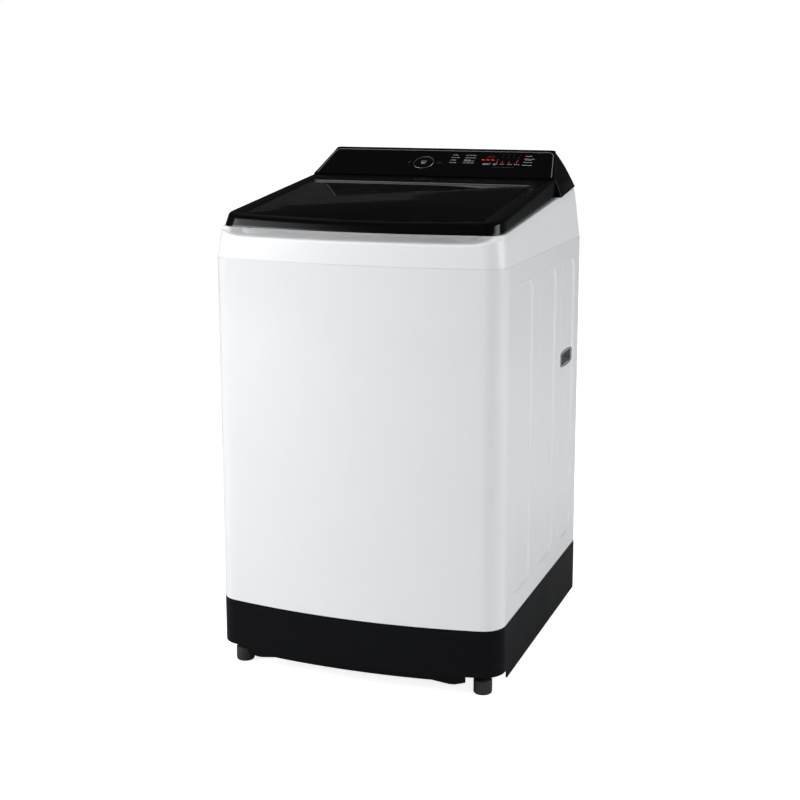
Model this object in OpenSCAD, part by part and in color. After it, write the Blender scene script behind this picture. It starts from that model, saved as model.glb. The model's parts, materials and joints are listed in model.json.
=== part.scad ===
// Top load washing machine: painted cabinet on a dark base, sloped glass lid, raked console,
// sprung tub with a direct drive, perforated drum and pulsator. Millimetres, +Z up, front at -Y,
// origin on the floor at the middle of the outline.

/* [Cabinet] */
// Width over the side panels
body_w = 610; // [590:1:640]
// Depth from the front bulge to the rear panel
body_d = 651; // [630:1:690]
// How far the front panel bows out in the middle
front_bow = 34.3; // [20:0.1:45]
// Radius of the front vertical corners
front_corner_r = 48; // [40:1:56]
// Height of the joint between base and cabinet
base_top_z = 142; // [130:1:160]
// Depth of the joint between cabinet and top cover below the console's ridge
seam_drop = 192.5; // [186:0.5:200]
// Thickness of the cabinet sheet
sheet_t = 1; // [0.8:0.1:1.4]
// Width of the flange turned in at the back
rear_flange_w = 24; // [20:1:32]

/* [Side pressings] */
// Depth of the pressed panels
press_depth = 3.5; // [2:0.1:5]
// Width of their sloping border
press_border = 6; // [4:0.5:9]
// Corner radius of the pressed panels
press_r = 36; // [24:1:42]
// Distance from the cabinet's edges to the panels' ends
press_end_gap = 41; // [34:1:60]
// Plain strip between two pressed panels
press_gap = 54; // [48:1:64]
// Width of the first and second panels
press_w = 140; // [120:1:146]
// Width of the third panel, which carries the grip
press_rear_w = 126; // [116:1:130]
// Distance from the back to the third panel
press_rear_y = 41; // [38:1:48]

/* [Carrying grips] */
// Length of the grip's flange
grip_w = 102; // [92:1:106]
// Height of the grip's flange
grip_h = 44; // [38:1:54]
// Height of the grip's middle above the floor
grip_z = 598; // [560:1:640]
// Depth of the grip's cup
grip_depth = 26; // [20:1:32]
// Width of the flange round the cup
grip_rim = 6; // [5:0.5:8]

/* [Base and feet] */
// Height of the skirt's lower edge
skirt_z = 27; // [22:1:32]
// Wall of the base moulding
base_wall = 3; // [2.5:0.1:4]
// Height of the base's floor web
web_z = 50; // [46:1:58]
// Distance of the feet from the side panels
foot_inset_x = 43; // [38:1:54]
// Distance of the front feet from the front bulge
foot_inset_y = 63; // [58:1:72]
// Distance of the rear feet from the back
foot_rear_y = 52; // [46:1:70]
// Radius of a foot's pad
foot_r = 19; // [16:0.5:22]
// Radius of a foot's stud
stud_r = 6; // [5:0.5:7]

/* [Top cover] */
// Depth of the flat front rim below the console's ridge
rim_drop = 132; // [128:1:138]
// Rake of the rim towards the back, in degrees
rim_rake = 4.8; // [4:0.1:5.4]
// Wall of the top cover
cover_wall = 3; // [2.5:0.1:3.5]
// Depth of the well's floor below the rim
well_depth = 42; // [36:1:46]
// Lean of the cover's sides
side_lean = 7.3; // [5:0.1:8]

/* [Lid] */
// Rake of the lid's top, in degrees
lid_rake = 6.7; // [6:0.1:7.2]
// Depth of the lid's top below the console's ridge, over the front bulge
lid_drop = 115.5; // [112:0.5:118]
// Wall of the lid frame
lid_wall = 3; // [2.5:0.1:3.5]
// Thickness of the glass
glass_t = 4; // [3:0.5:5]
// Distance of the glass from the side panels
glass_side = 55; // [50:1:64]
// Distance of the lid's rear edge from the back
lid_back = 150.5; // [148:0.5:154]
// Width of the dark band behind the glass
lid_band = 74; // [66:1:90]
// Radius of the hinge pins
hinge_pin_r = 3.5; // [3:0.5:4]

/* [Console] */
// Height of the console's ridge
top_z = 1050; // [1046:1:1060]
// Rake of the control face, in degrees
face_rake = 30.5; // [29:0.1:32]
// Length of the control face up its slope
face_len = 99.5; // [94:0.5:102]
// Depth of the control face's lower edge below the ridge
face_drop = 55.5; // [54:0.5:58]
// Distance of the control face's lower corners from the side panels
face_low_side = 28; // [25:1:34]
// Distance of the control face's upper corners from the side panels
face_high_side = 46; // [42:1:52]
// Wall of the console housing
console_wall = 3; // [2.5:0.1:3.5]
// Outer radius of the ring round the course key
ring_r = 23; // [20:0.5:25]
// Travel of the course key
key_travel = 1.2; // [0.8:0.1:1.5]

/* [Tub and drum] */
// Room between the outer tub's bore and the side panels
tub_side_gap = 43; // [42:1:52]
// Room between the outer tub's bore and the front bulge
tub_front_gap = 58.5; // [57:0.5:64]
// Room between the outer tub's bore and the back
tub_rear_gap = 68.5; // [66:0.5:76]
// Room between the drum and the outer tub's bore
drum_gap = 12; // [10:1:16]
// Height of the outer tub's floor above the base
tub_rise = 98; // [94:1:104]
// Depth of the outer tub's rim below the cabinet's seam
tub_drop = 17.5; // [16:0.5:24]
// Wall of the outer tub
tub_wall = 4; // [3:0.5:5]
// Wall of the drum
drum_wall = 1.2; // [1:0.1:2]
// Width of the balance ring round its mouth
mouth_lip = 30; // [26:1:36]
// Room between the pulsator and the drum's wall
pulsator_gap = 62; // [56:1:74]
// Number of vanes on the pulsator
vanes = 6; // [4:1:8]
// Rows of holes in the drum
hole_rows = 6; // [3:1:7]
// Holes in each row
holes_per_row = 14; // [8:2:18]

/* [Drive] */
// Radius of the spin shaft
spin_r = 17.5; // [16:0.5:19]
// Radius of the wash shaft
wash_r = 12; // [11:0.5:13]
// Outer radius of the bearings
bearing_r = 31; // [29:0.5:34]
// Width of a bearing
bearing_w = 14; // [12:0.5:16]
// Outer radius of the stator's teeth
stator_r = 128; // [120:1:130]
// Number of stator teeth
teeth = 24; // [18:3:30]

/* [Suspension] */
// How far the rods stand in from the tub's bore, along X and Y
rod_inset = 29; // [26:1:31]
// Radius of a suspension rod
rod_r = 4.5; // [4:0.5:5.5]
// Radius of a suspension spring
spring_r = 15; // [13:0.5:17]
// Radius of the spring wire
wire_r = 2; // [1.5:0.1:2.4]
// Height of the springs' lower end above the base
spring_rise = 62; // [54:1:68]
// Length of a loaded spring
spring_len = 90; // [84:1:94]

/* [Detergent drawer] */
// Width of the drawer's face
drawer_w = 220; // [200:1:230]
// Height of the drawer's face
drawer_h = 54; // [50:1:56]
// Height of the drawer's lower edge above the well's floor
drawer_rise = 14; // [12:1:16]
// Length of the drawer's tray
drawer_len = 110; // [100:1:114]

/* [Water and drain] */
// How far the water inlets stand out behind
stub_out = 14; // [12:0.5:16]
// Radius of a water inlet
stub_r = 13.1; // [12:0.1:14]
// Distance between the two inlets
stub_gap = 60; // [54:1:66]
// Radius of the drain outlet
drain_r = 11; // [10:0.5:13]
// Height of the shoulder that a hose stops against
stub_shoulder = 2; // [1.5:0.1:2.5]

/* [Hidden] */
$fn = 64;

run_fit = 0.05;      // radial clearance of a shaft in its bore
seat_gap = 0.3;      // clearance between pieces that move on each other
slide_gap = 1;       // clearance round the drawer's face
half_w = body_w / 2;
y_front = -(body_d + stub_out) / 2;
y_back = y_front + body_d;
seam_z = top_z - seam_drop;
rim_z = top_z - rim_drop;
lid_z = top_z - lid_drop;
face_z = top_z - face_drop;
well_z = rim_z - well_depth;
bow_r = (half_w * half_w + front_bow * front_bow) / (2 * front_bow);
bow_y = y_front + bow_r;
corner_x = half_w - front_corner_r;
corner_y = bow_y - sqrt(pow(bow_r - front_corner_r, 2) - corner_x * corner_x);
corner_cut = 2 * front_corner_r;

tub_r = min(half_w - tub_side_gap, (body_d - tub_front_gap - tub_rear_gap) / 2);
drum_y = y_front + tub_front_gap + tub_r;
drum_r = tub_r - drum_gap;
mouth_r = drum_r - mouth_lip;
pulsator_r = drum_r - pulsator_gap;
tub_z = base_top_z + tub_rise;
tub_top_z = seam_z - tub_drop;
foot_x = half_w - foot_inset_x;
foot_front_y = y_front + foot_inset_y;
foot_back_y = y_back - foot_rear_y;
foot_notch_z = skirt_z + 18;
boss_top_z = web_z + 42;
pad_h = 20;
web_hole_r = 150;                                   // opening in the base under the motor
base_lip = sheet_t + press_depth + 5.5;             // inner face of the lip inside the cabinet's sheet
lip_half_w = half_w - 80;                           // where the front's lower lip dips
notch_x = foot_x - foot_r - 6;                      // skirt lifted over the front feet
guard_r = web_hole_r + 12;
guard_slot_w = 12;
guard_slot_step = 30;

rim_bend_y = y_front + 79;                          // where the level rim starts to rise
cover_top_z = rim_z + 75;
cover_lean = (cover_top_z - seam_z) * tan(side_lean);
well_side = 40;                                     // side panel to well
well_front_y = y_front + 50;
well_back_y = y_back - lid_back;
recess_z = rim_z - 18;
recess_depth = 30;
recess_half_w = half_w - 38;

lid_y = y_back - lid_back;
lid_gap = 1;
lid_side = 13;                                      // side panel to lid, at the rim
lid_front = 10;
lid_lean_side = 0.15;
lid_lean_front = 0.5;
hinge_y = lid_y - 13;
hinge_z = lid_height(hinge_y) - 11.5;
heel_r = hinge_z - rim_height(hinge_y) - lid_gap - 0.3;
hinge_x = half_w - 37;                              // inner face of the hinge brackets
hinge_t = 8;
hinge_ear_r = hinge_pin_r + 2.5;
strike_y = lid_y - 76;
strike_x = half_w - 24.5;
lock_x = half_w - well_side + cover_wall;             // lock's face against the well
strike_t = 3;
glass_w = body_w - 2 * glass_side;
glass_front_y = y_front + 52;
glass_back_y = lid_y - lid_band;

face_y = lid_y + 0.5;
hinge_turn_r = norm([face_y - hinge_y, face_z - hinge_z]);  // free radius round the hinge
lip_angle = atan2(face_z - hinge_z, face_y - hinge_y);
face_low_w = body_w - 2 * face_low_side;
face_high_w = body_w - 2 * face_high_side;
face_top_y = face_y + face_len * cos(face_rake);
face_top_z = face_z + face_len * sin(face_rake);
trim_w = 2;
panel_t = 3;
panel_up = 52;                                      // course key's place up the face
key_x = -32;
key_r = ring_r - 3.5;
board_z = -26;                                      // circuit board, below the face
board_size = [275, 78, 1.6];
board_at = [half_w - 90 - board_size[0], 12];
display_box = [108, 52, 14];
display_at = [half_w - 101 - display_box[0], 24];
console_foot_z = top_z - 85;                        // where the console's sides meet the cover
console_bend_r = 18;
console_bend_z = top_z - 69;

housing_r = 40;                                     // bearing housing, its flange and the stator round it
housing_flange_r = 112;
stator_bore_r = 70;
rotor_wall = 4;
rotor_hub_r = 24;
hub_r = 42;
hole_r = 3;                                         // holes in the drum's wall
hole_low = 70;
hole_pitch = 62;
vane_r = 128;                                       // curve, thickness and place of the pulsator's vanes
vane_t = 12;
vane_h = 60;
vane_at = [52, 92];
cap_r = 20;
drive_depth = 48;                                   // lower bearing and stator, below the tub's floor
hub_z = tub_z + 18;
drum_floor_z = hub_z + 14;
drum_top_z = tub_top_z - 6;
balance_h = 42;
filter_w = 96;
filter_h = 210;
bearing_low_z = tub_z - drive_depth;
stator_z = tub_z - drive_depth;
bearing_seat = 4;                                   // how far a bearing's shoulder reaches in
bearing_high_z = tub_z - bearing_w;
rotor_z = tub_z - 66;
pulsator_z = drum_floor_z + 14;
rod_off = tub_r - rod_inset;
rod_top_z = seam_z - 28;
spring_z = base_top_z + spring_rise;
seat_z = spring_z + spring_len;
ear_t = 16;

service_w = 244;                                    // service cover in the rear panel
service_h = 174;
service_rim = 12;
service_z = base_top_z + 108;
bead_count = 4;                                     // beads pressed in the rear panel
bead_h = 70;
bead_t = 5;
bead_low_z = service_z + service_h / 2 + 18;
bead_pitch = (seam_z - 42.5 - bead_low_z) / bead_count;

press_low_z = base_top_z + press_end_gap;
press_high_z = seam_z - press_end_gap + 2;
press_y3 = y_back - press_rear_y - press_rear_w / 2;
press_y2 = press_y3 - press_rear_w / 2 - press_gap - press_w / 2 + 12;
press_y1 = press_y2 - press_w - press_gap + 6;

drawer_y = well_back_y;
drawer_z = well_z + drawer_rise;
box_wall = 2.5;
box_len = drawer_len + 8;
tray_wall = 2;
valve_x = half_w - 100;
valve_z = rim_z - 3;
valve_w = 90;
sensor_x = 105 - half_w;
sensor_r = 22;
gland_x = 52 - half_w;
gland_r = 10;
rotor_r = stator_r + 11;
pump = [-rotor_r - 33, drum_y + 72, base_top_z - 50];
pump_r = 38;
pump_w = 36;                                        // length of the pump's chamber and of its motor
motor_r = 24;
motor_len = 62;
foot_len = 48;
sump_r = 18;
bellows_r = sump_r - 3;
bellows_low_z = pump[2] + 42;
outlet_y = pump_r + 2;                              // where the outlet meets the pump, behind its axis
outlet_z = pump[2] - pump_r + drain_r + stub_shoulder + 2;

// ---- shared shapes -------------------------------------------------------------------------

function arc(c, r, a0, a1, n = 8) =
    [for (i = [0:n]) let(a = a0 + (a1 - a0) * i / n) c + r * [cos(a), sin(a)]];

// Height of the cover's rim at a distance y
function rim_height(y) = rim_z + max(0, y - rim_bend_y) * tan(rim_rake);

// Height of the lid's top at a distance y
function lid_height(y) = lid_z + (y - y_front) * tan(lid_rake);

// Outline seen from above, drawn in from the cabinet by a given amount on each side
function outline(side = 0, front = 0, back = 0, r = front_corner_r) =
    let(hw = half_w - side, by = bow_y + front, cx = hw - r,
        cy = by - sqrt(pow(bow_r - r, 2) - cx * cx), a = atan2(cy - by, cx))
    concat([[hw, y_back - back], [-hw, y_back - back]],
        arc([-cx, cy], r, 180, 180 - a),
        arc([0, by], bow_r, 180 - a, 360 + a, 16),
        arc([cx, cy], r, 360 + a, 360));

// The same outline with true arcs, drawn in all round by e
module plan(e = 0) {
    difference() {
        intersection() {
            translate([0, bow_y]) circle(r = bow_r - e, $fn = 720);
            translate([e - half_w, y_front - 1]) square([body_w - 2 * e, body_d - e + 1]);
        }
        for (s = [0, 1]) mirror([s, 0]) difference() {
            polygon([[corner_x, corner_y], [half_w + 5, corner_y], [half_w + 5, corner_y - corner_cut],
                [corner_x + corner_cut * corner_x / (bow_y - corner_y), corner_y - corner_cut]]);
            translate([corner_x, corner_y]) circle(r = front_corner_r - e, $fn = 96);
        }
    }
}

module ring_plan(e0, e1) {
    difference() {
        plan(e0);
        plan(e1);
    }
}

// Straight loft from one outline at height za to another at height zb
module loft(a, za, b, zb) {
    n = len(a);
    polyhedron(
        points = concat([for (p = a) [p[0], p[1], za]], [for (p = b) [p[0], p[1], zb]]),
        faces = concat([[for (i = [0:n - 1]) i]], [[for (i = [n - 1:-1:0]) n + i]],
            [for (i = [0:n - 1]) [i, n + i, n + (i + 1) % n, (i + 1) % n]]));
}

// Side profile, in Y and Z, drawn right across the machine
module across(profile, w = body_w + 20, x = 0) {
    translate([x, 0, 0]) rotate([90, 0, 90]) linear_extrude(w, center = true) polygon(profile);
}

module tube(r, bore, h) {
    difference() {
        cylinder(r = r, h = h);
        translate([0, 0, -1]) cylinder(r = bore, h = h + 2);
    }
}

module along_y(x, y, z) {
    translate([x, y, z]) rotate([-90, 0, 0]) children();
}

module along_x(x, y, z) {
    translate([x, y, z]) rotate([0, 90, 0]) children();
}

module both_sides() {
    for (s = [0, 1]) mirror([s, 0, 0]) children();
}

module block(low, high) {
    translate(low) cube(high - low);
}

module rounded(w, h, r) {
    square([w - 2 * r, h], center = true);
    square([w, h - 2 * r], center = true);
    for (x = [-1, 1], y = [-1, 1]) translate([x * (w / 2 - r), y * (h / 2 - r)]) circle(r = r, $fn = 48);
}

module trapezoid_bar(w, i0, i1, t, length) {
    rotate([90, 0, 0]) linear_extrude(length, center = true)
        polygon([[i0 - w / 2, 0], [w / 2 - i0, 0], [w / 2 - i1, t], [i1 - w / 2, t]]);
}

// Rounded block with sloping walls: drawn in by i0 at its foot and by i1 at its top
module bevel_block(w, h, r, i0, i1, t) {
    trapezoid_bar(w, i0, i1, t, h - 2 * r);
    rotate([0, 0, 90]) trapezoid_bar(h, i0, i1, t, w - 2 * r);
    for (x = [-1, 1], y = [-1, 1]) translate([x * (w / 2 - r), y * (h / 2 - r), 0])
        cylinder(r1 = r - i0, r2 = r - i1, h = t, $fn = 48);
}

// ---- cabinet -------------------------------------------------------------------------------

// Space taken by the pressed panels between two depths, moved in by shift
module side_pressings(d0, d1, shift) {
    k = press_border / press_depth;
    both_sides() for (p = [[press_y1, press_w], [press_y2, press_w], [press_y3, press_rear_w]])
        translate([half_w - d0, p[0], (press_low_z + press_high_z) / 2]) rotate([90, 0, -90])
            bevel_block(p[1], press_high_z - press_low_z, press_r,
                (d0 - shift) * k, (d1 - shift) * k, d1 - d0);
}

module cabinet_shell() color("white") {
    difference() {
        union() {
            translate([0, 0, base_top_z]) linear_extrude(seam_z - base_top_z) ring_plan(0, sheet_t);
            side_pressings(0, press_depth + sheet_t, sheet_t);
        }
        side_pressings(-0.5, press_depth, 0);
        block([rear_flange_w - half_w, y_back - 2 * sheet_t, base_top_z - 1],
            [half_w - rear_flange_w, y_back + 1, seam_z + 1]);
        block([-half_w - 1, y_back - sheet_t, base_top_z - 1], [half_w + 1, y_back + 1, seam_z + 1]);
        both_sides() along_x(half_w - 12, press_y3, grip_z) rotate([0, 0, 90]) linear_extrude(20)
            rounded(grip_w - 2 * grip_rim, grip_h - 2 * grip_rim, 10);
    }
    both_sides() block([half_w - rear_flange_w, y_back - 2 * sheet_t, base_top_z],
        [half_w - sheet_t / 2, y_back - sheet_t, seam_z]);
}

module rear_panel() color("gainsboro") {
    bead_w = body_w - 2 * rear_flange_w - 30;
    beads = [for (i = [0:bead_count - 1]) bead_low_z + (i + 0.5) * bead_pitch];
    difference() {
        union() {
            block([2 - half_w, y_back - sheet_t, base_top_z + 2], [half_w - 2, y_back, seam_z - 2]);
            for (z = beads) translate([0, y_back, z]) rotate([90, 0, 0])
                bevel_block(bead_w, bead_h, 20, 0, bead_t, bead_t);
        }
        for (z = beads) translate([0, y_back + 0.5, z]) rotate([90, 0, 0])
            bevel_block(bead_w - 2, bead_h - 2, 19, -0.5, bead_t - 0.5, bead_t - 0.5);
        block([service_rim - service_w / 2, y_back - 5, service_z + service_rim - service_h / 2],
            [service_w / 2 - service_rim, y_back + 5, service_z + service_h / 2 - service_rim]);
        along_y(gland_x, y_back - 10, rod_top_z) cylinder(r = gland_r, h = 20);
    }
}

module service_cover() color("silver") {
    difference() {
        union() {
            block([-service_w / 2, y_back, service_z - service_h / 2],
                [service_w / 2, y_back + sheet_t, service_z + service_h / 2]);
            translate([0, y_back + sheet_t, service_z]) rotate([-90, 0, 0])
                bevel_block(service_w - 44, service_h - 44, 16, 0, 4, 4);
        }
        translate([0, y_back - 0.1, service_z]) rotate([-90, 0, 0])
            bevel_block(service_w - 46, service_h - 46, 15, -0.1, 4, 4.1);
    }
}

module screw_head() {
    cylinder(r = 5, h = 2.4, $fn = 6);
}

module rear_screws() color("dimgray") {
    for (x = [-1, 1], z = [base_top_z + 18, (base_top_z + seam_z) / 2, seam_z - 18])
        along_y(x * (half_w - 13), y_back, z) screw_head();
    for (x = [-1, 1], z = [-1, 1])
        along_y(x * (service_w / 2 - 8), y_back + sheet_t, service_z + z * (service_h / 2 - 7))
            screw_head();
}

module side_grip() color("gray") {
    floor_x = half_w - press_depth;
    difference() {
        union() {
            along_x(floor_x, press_y3, grip_z) rotate([0, 0, 90]) linear_extrude(press_depth - 0.5)
                rounded(grip_w, grip_h, 13);
            along_x(floor_x - grip_depth, press_y3, grip_z) rotate([0, 0, 90])
                linear_extrude(grip_depth)
                    rounded(grip_w - 2 * grip_rim - 0.6, grip_h - 2 * grip_rim - 0.6, 9.7);
        }
        along_x(floor_x - grip_depth + 2.5, press_y3, grip_z) rotate([0, 0, 90])
            linear_extrude(grip_depth + 5)
            rounded(grip_w - 2 * grip_rim - 5, grip_h - 2 * grip_rim - 5, 8);
    }
}

module side_grip_left() {
    mirror([1, 0, 0]) side_grip();
}

module side_grip_right() {
    side_grip();
}

// ---- base and feet -------------------------------------------------------------------------

// Lower lip, set back behind the front, that dips beside each foot
module front_lip() {
    dip = lip_half_w - 8;
    intersection() {
        translate([0, 0, skirt_z]) linear_extrude(foot_notch_z - skirt_z + 10)
            ring_plan(base_wall, 2 * base_wall);
        translate([0, y_front + 75, 0]) rotate([90, 0, 0]) linear_extrude(80) polygon([
            [-notch_x, foot_notch_z + 10], [-notch_x, skirt_z + 5], [-dip - 12, skirt_z + 3], [-dip, skirt_z],
            [-dip + 12, skirt_z], [-dip + 46, skirt_z + 6], [dip - 46, skirt_z + 6], [dip - 12, skirt_z],
            [dip, skirt_z], [dip + 12, skirt_z + 3], [notch_x, skirt_z + 5], [notch_x, foot_notch_z + 10]]);
    }
}

module base_frame() color("dimgray") difference() {
    union() {
        translate([0, 0, foot_notch_z - 4]) linear_extrude(base_top_z - foot_notch_z + 4)
            ring_plan(0, base_wall);
        translate([0, 0, skirt_z]) linear_extrude(foot_notch_z - skirt_z - 4) difference() {
            ring_plan(0, base_wall);
            translate([-notch_x - 1, y_front - 5]) square([2 * notch_x + 2, 80]);
        }
        front_lip();
        // Lip that the cabinet's sheet sits round
        translate([0, 0, base_top_z - 12]) linear_extrude(22) ring_plan(base_lip - 2.5, base_lip);
        translate([0, 0, base_top_z - 12]) linear_extrude(3) ring_plan(base_wall - 1, base_lip);
        // Floor web, opened under the motor, with its stiffening walls
        translate([0, 0, web_z]) linear_extrude(base_wall) difference() {
            plan(base_wall - 0.5);
            translate([0, drum_y]) circle(r = web_hole_r);
        }
        translate([0, drum_y, web_z]) tube(web_hole_r + base_wall, web_hole_r, 28);
        for (a = [45:90:315]) translate([0, drum_y, web_z]) rotate([0, 0, a])
            block([web_hole_r + 2, -base_wall / 2, 0], [half_w + 15, base_wall / 2, 22]);
        for (x = [-1, 1], y = [foot_front_y, foot_back_y]) translate([x * foot_x, y, foot_notch_z])
            cylinder(r = stud_r + 10, h = boss_top_z - foot_notch_z);
        block([pump[0] - 26, pump[1] - 30, web_z], [pump[0] + 26, pump[1] + 30, pump[2] - pump_r]);
    }
    for (x = [-1, 1], y = [foot_front_y, foot_back_y]) translate([x * foot_x, y, 0])
        cylinder(r = stud_r + run_fit, h = boss_top_z + 5);
    // Skirt lifted over the front feet
    both_sides() block([notch_x, y_front - 5, skirt_z - 1],
        [half_w + 5, foot_front_y + foot_r + 6, foot_notch_z]);
    // Way for the drain pipe through the stiffening wall and the skirt
    along_y(pump[0], pump[1], outlet_z)
        cylinder(r = drain_r + stub_shoulder + 1, h = y_back - pump[1] - base_wall - 1);
    along_y(pump[0], y_back - 20, outlet_z) cylinder(r = drain_r + stub_shoulder + seat_gap, h = 30);
}

module bottom_guard() color("dimgray") difference() {
    translate([0, drum_y, web_z - 2]) cylinder(r = guard_r, h = 2);
    for (i = [-4:4], s = [-1, 1])
        translate([(i - 0.2) * guard_slot_step, drum_y + (s < 0 ? -8 - slot_len(i) : 8), web_z - 5])
            cube([guard_slot_w, slot_len(i), 10]);
}

function slot_len(i) = sqrt(pow(web_hole_r - 10, 2) - pow(i * guard_slot_step, 2)) - 14;

module foot_pad() {
    cylinder(r1 = foot_r - 1, r2 = foot_r, h = 3);
    translate([0, 0, 3]) cylinder(r = foot_r, h = pad_h - 7);
    translate([0, 0, pad_h - 4]) cylinder(r1 = foot_r, r2 = foot_r - 4, h = 4);
}

module levelling_foot(side) color("black") translate([side * foot_x, foot_front_y, 0]) {
    foot_pad();
    translate([0, 0, pad_h]) cylinder(r = stud_r + 7, h = 7, $fn = 6);
    translate([0, 0, pad_h]) cylinder(r = stud_r, h = boss_top_z - pad_h - 8);
}

module front_foot_left() {
    levelling_foot(-1);
}

module front_foot_right() {
    levelling_foot(1);
}

module foot_lock_nuts() color("silver") for (s = [-1, 1])
    translate([s * foot_x, foot_front_y, foot_notch_z - 9]) difference() {
        cylinder(r = stud_r + 6, h = 9, $fn = 6);
        translate([0, 0, -1]) cylinder(r = stud_r + run_fit, h = 12);
    }

module rear_feet() color("black") for (s = [-1, 1]) translate([s * foot_x, foot_back_y, 0]) {
    foot_pad();
    translate([0, 0, pad_h]) cylinder(r = stud_r + 6, h = foot_notch_z - pad_h);
    translate([0, 0, foot_notch_z]) cylinder(r = stud_r, h = boss_top_z - foot_notch_z - 8);
}

// ---- top cover -----------------------------------------------------------------------------

function below_rim(drop) = [[y_front - 5, seam_z - 10], [y_back + 5, seam_z - 10],
    [y_back + 5, rim_height(y_back + 5) - drop], [rim_bend_y, rim_z - drop], [y_front - 5, rim_z - drop]];

module cover_body(e) {
    loft(outline(e, e, e), seam_z - e, outline(cover_lean + e, cover_lean + e, e), cover_top_z);
}

module well_space(grow, depth) {
    intersection() {
        translate([0, (well_front_y + well_back_y) / 2, well_z - depth]) linear_extrude(120)
            rounded(body_w - 2 * well_side + 2 * grow, well_back_y - well_front_y + 2 * grow, 42 + grow);
        across(below_rim(grow > 0 ? cover_wall / 2 : -2));
    }
}

module mouth_plan(r) intersection() {
    translate([0, drum_y]) circle(r = r, $fn = 128);
    translate([-r, drum_y - r]) square([2 * r, well_back_y - 8 - drum_y + r]);
}

module top_cover() color("white") difference() {
    union() {
        difference() {
            intersection() {
                cover_body(0);
                across(below_rim(0));
            }
            intersection() {
                cover_body(cover_wall);
                across(below_rim(cover_wall));
            }
        }
        well_space(cover_wall, cover_wall);
        // Roof of the finger recess, behind the front wall
        intersection() {
            across([[y_front - 1, recess_z - cover_wall],
                [y_front + recess_depth + cover_wall, recess_z - cover_wall],
                [y_front + recess_depth + cover_wall, rim_z], [y_front - 1, rim_z]], 2 * recess_half_w + 6);
            cover_body(0);
        }
    }
    well_space(0, 0);
    translate([0, 0, well_z - 20]) linear_extrude(40) mouth_plan(mouth_r + 5);
    // Finger recess under the lid's front lip
    intersection() {
        across([[y_front - 5, recess_z], [y_front + recess_depth - 12, recess_z],
            [y_front + recess_depth, recess_z + 12],
            [y_front + recess_depth, rim_z + 5], [y_front - 5, rim_z + 5]], 2 * recess_half_w);
        translate([0, 0, recess_z - 5]) linear_extrude(60) difference() {
            plan(-3);
            translate([0, recess_depth]) plan(0);
        }
    }
    // Drawer mouth in the well's back wall
    block([-drawer_w / 2 - slide_gap, well_back_y - 2, drawer_z - slide_gap],
        [drawer_w / 2 + slide_gap, well_back_y + 10, drawer_z + drawer_h + slide_gap]);
    for (s = [-1, 1]) along_y(valve_x + s * stub_gap / 2, y_back - 10, valve_z)
        cylinder(r = stub_r + stub_shoulder + seat_gap, h = 20);
    // Slot for the lid's strike
    block([strike_x - strike_t / 2 - 2, strike_y - 30, rim_z - 10],
        [strike_x + strike_t / 2 + 2, strike_y + 11, cover_top_z]);
    // Mouth of the console, over the water valve and the board
    block([55 - half_w, lid_y + 46, rim_z + 15], [half_w - 55, y_back - 16, cover_top_z]);
}

module lid_bumpers() color("white") for (s = [-1, 1])
    translate([s * (half_w - 85), well_front_y - 9, rim_z])
        cylinder(r1 = 4.5, r2 = 3.5, h = lid_gap + 1 - seat_gap);

module hinge_brackets() color("silver") both_sides() difference() {
    union() {
        across([[hinge_y - 16, rim_height(hinge_y - 16)], [hinge_y + 5, rim_height(hinge_y + 5)],
            [hinge_y + 6, hinge_z], [hinge_y - 6, hinge_z]], hinge_t, hinge_x + hinge_t / 2);
        along_x(hinge_x, hinge_y, hinge_z) cylinder(r = hinge_ear_r, h = hinge_t);
    }
    along_x(hinge_x - 1, hinge_y, hinge_z) cylinder(r = hinge_pin_r + run_fit, h = hinge_t + 2);
}

module lid_lock() color("dimgray") difference() {
    z = rim_height(strike_y - 34) - cover_wall;
    block([lock_x, strike_y - 34, z - 44], [strike_x + 7.5, strike_y + 20, z]);
    block([strike_x - strike_t / 2 - 2, strike_y - 31, z - 30],
        [strike_x + strike_t / 2 + 2, strike_y + 11, z + 5]);
    block([lock_x + 0.8, strike_y - 3, strike_hole_z() - 3],
        [strike_x + 5, strike_y + 3, strike_hole_z() + 3]);
}

function strike_hole_z() = rim_height(strike_y) - 12;

module lock_bolt() color("silver")
    block([lock_x + 1, strike_y - 2.7, strike_hole_z() - 2.7],
        [strike_x - strike_t / 2 - 1, strike_y + 2.7, strike_hole_z() + 2.7]);

// ---- lid -----------------------------------------------------------------------------------

// Leaning walls of the lid, drawn in by e
module lid_walls(e) {
    low = rim_z - 5;
    high = rim_z + 110;
    loft(outline(lid_side + e, lid_front + e), low, outline(lid_side + e + (high - low) * lid_lean_side,
        lid_front + e + (high - low) * lid_lean_front), high);
}

// Lid's outer form, drawn in by e on its walls and top
module lid_body(e) {
    intersection() {
        lid_walls(e);
        across(concat([[y_front - 5, rim_z + lid_gap - e], [rim_bend_y, rim_z + lid_gap - e]],
            [[lid_y - e, rim_height(lid_y - e) + lid_gap - e]],
            [[lid_y - e, lid_height(lid_y - e) - e], [y_front - 5, lid_height(y_front - 5) - e]]));
    }
}

module glass_outline(e, t, z) {
    r = 16;
    y0 = glass_front_y + e;
    y1 = glass_back_y - e;
    translate([0, y_front, lid_z]) rotate([lid_rake, 0, 0]) translate([0, -y_front, z]) linear_extrude(t)
        intersection() {
            translate([0, (y0 + y1) / 2]) rounded(glass_w - 2 * e, y1 - y0, r);
            translate([0, glass_front_y + e + bow_r - 12]) circle(r = bow_r, $fn = 720);
        }
}

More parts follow.
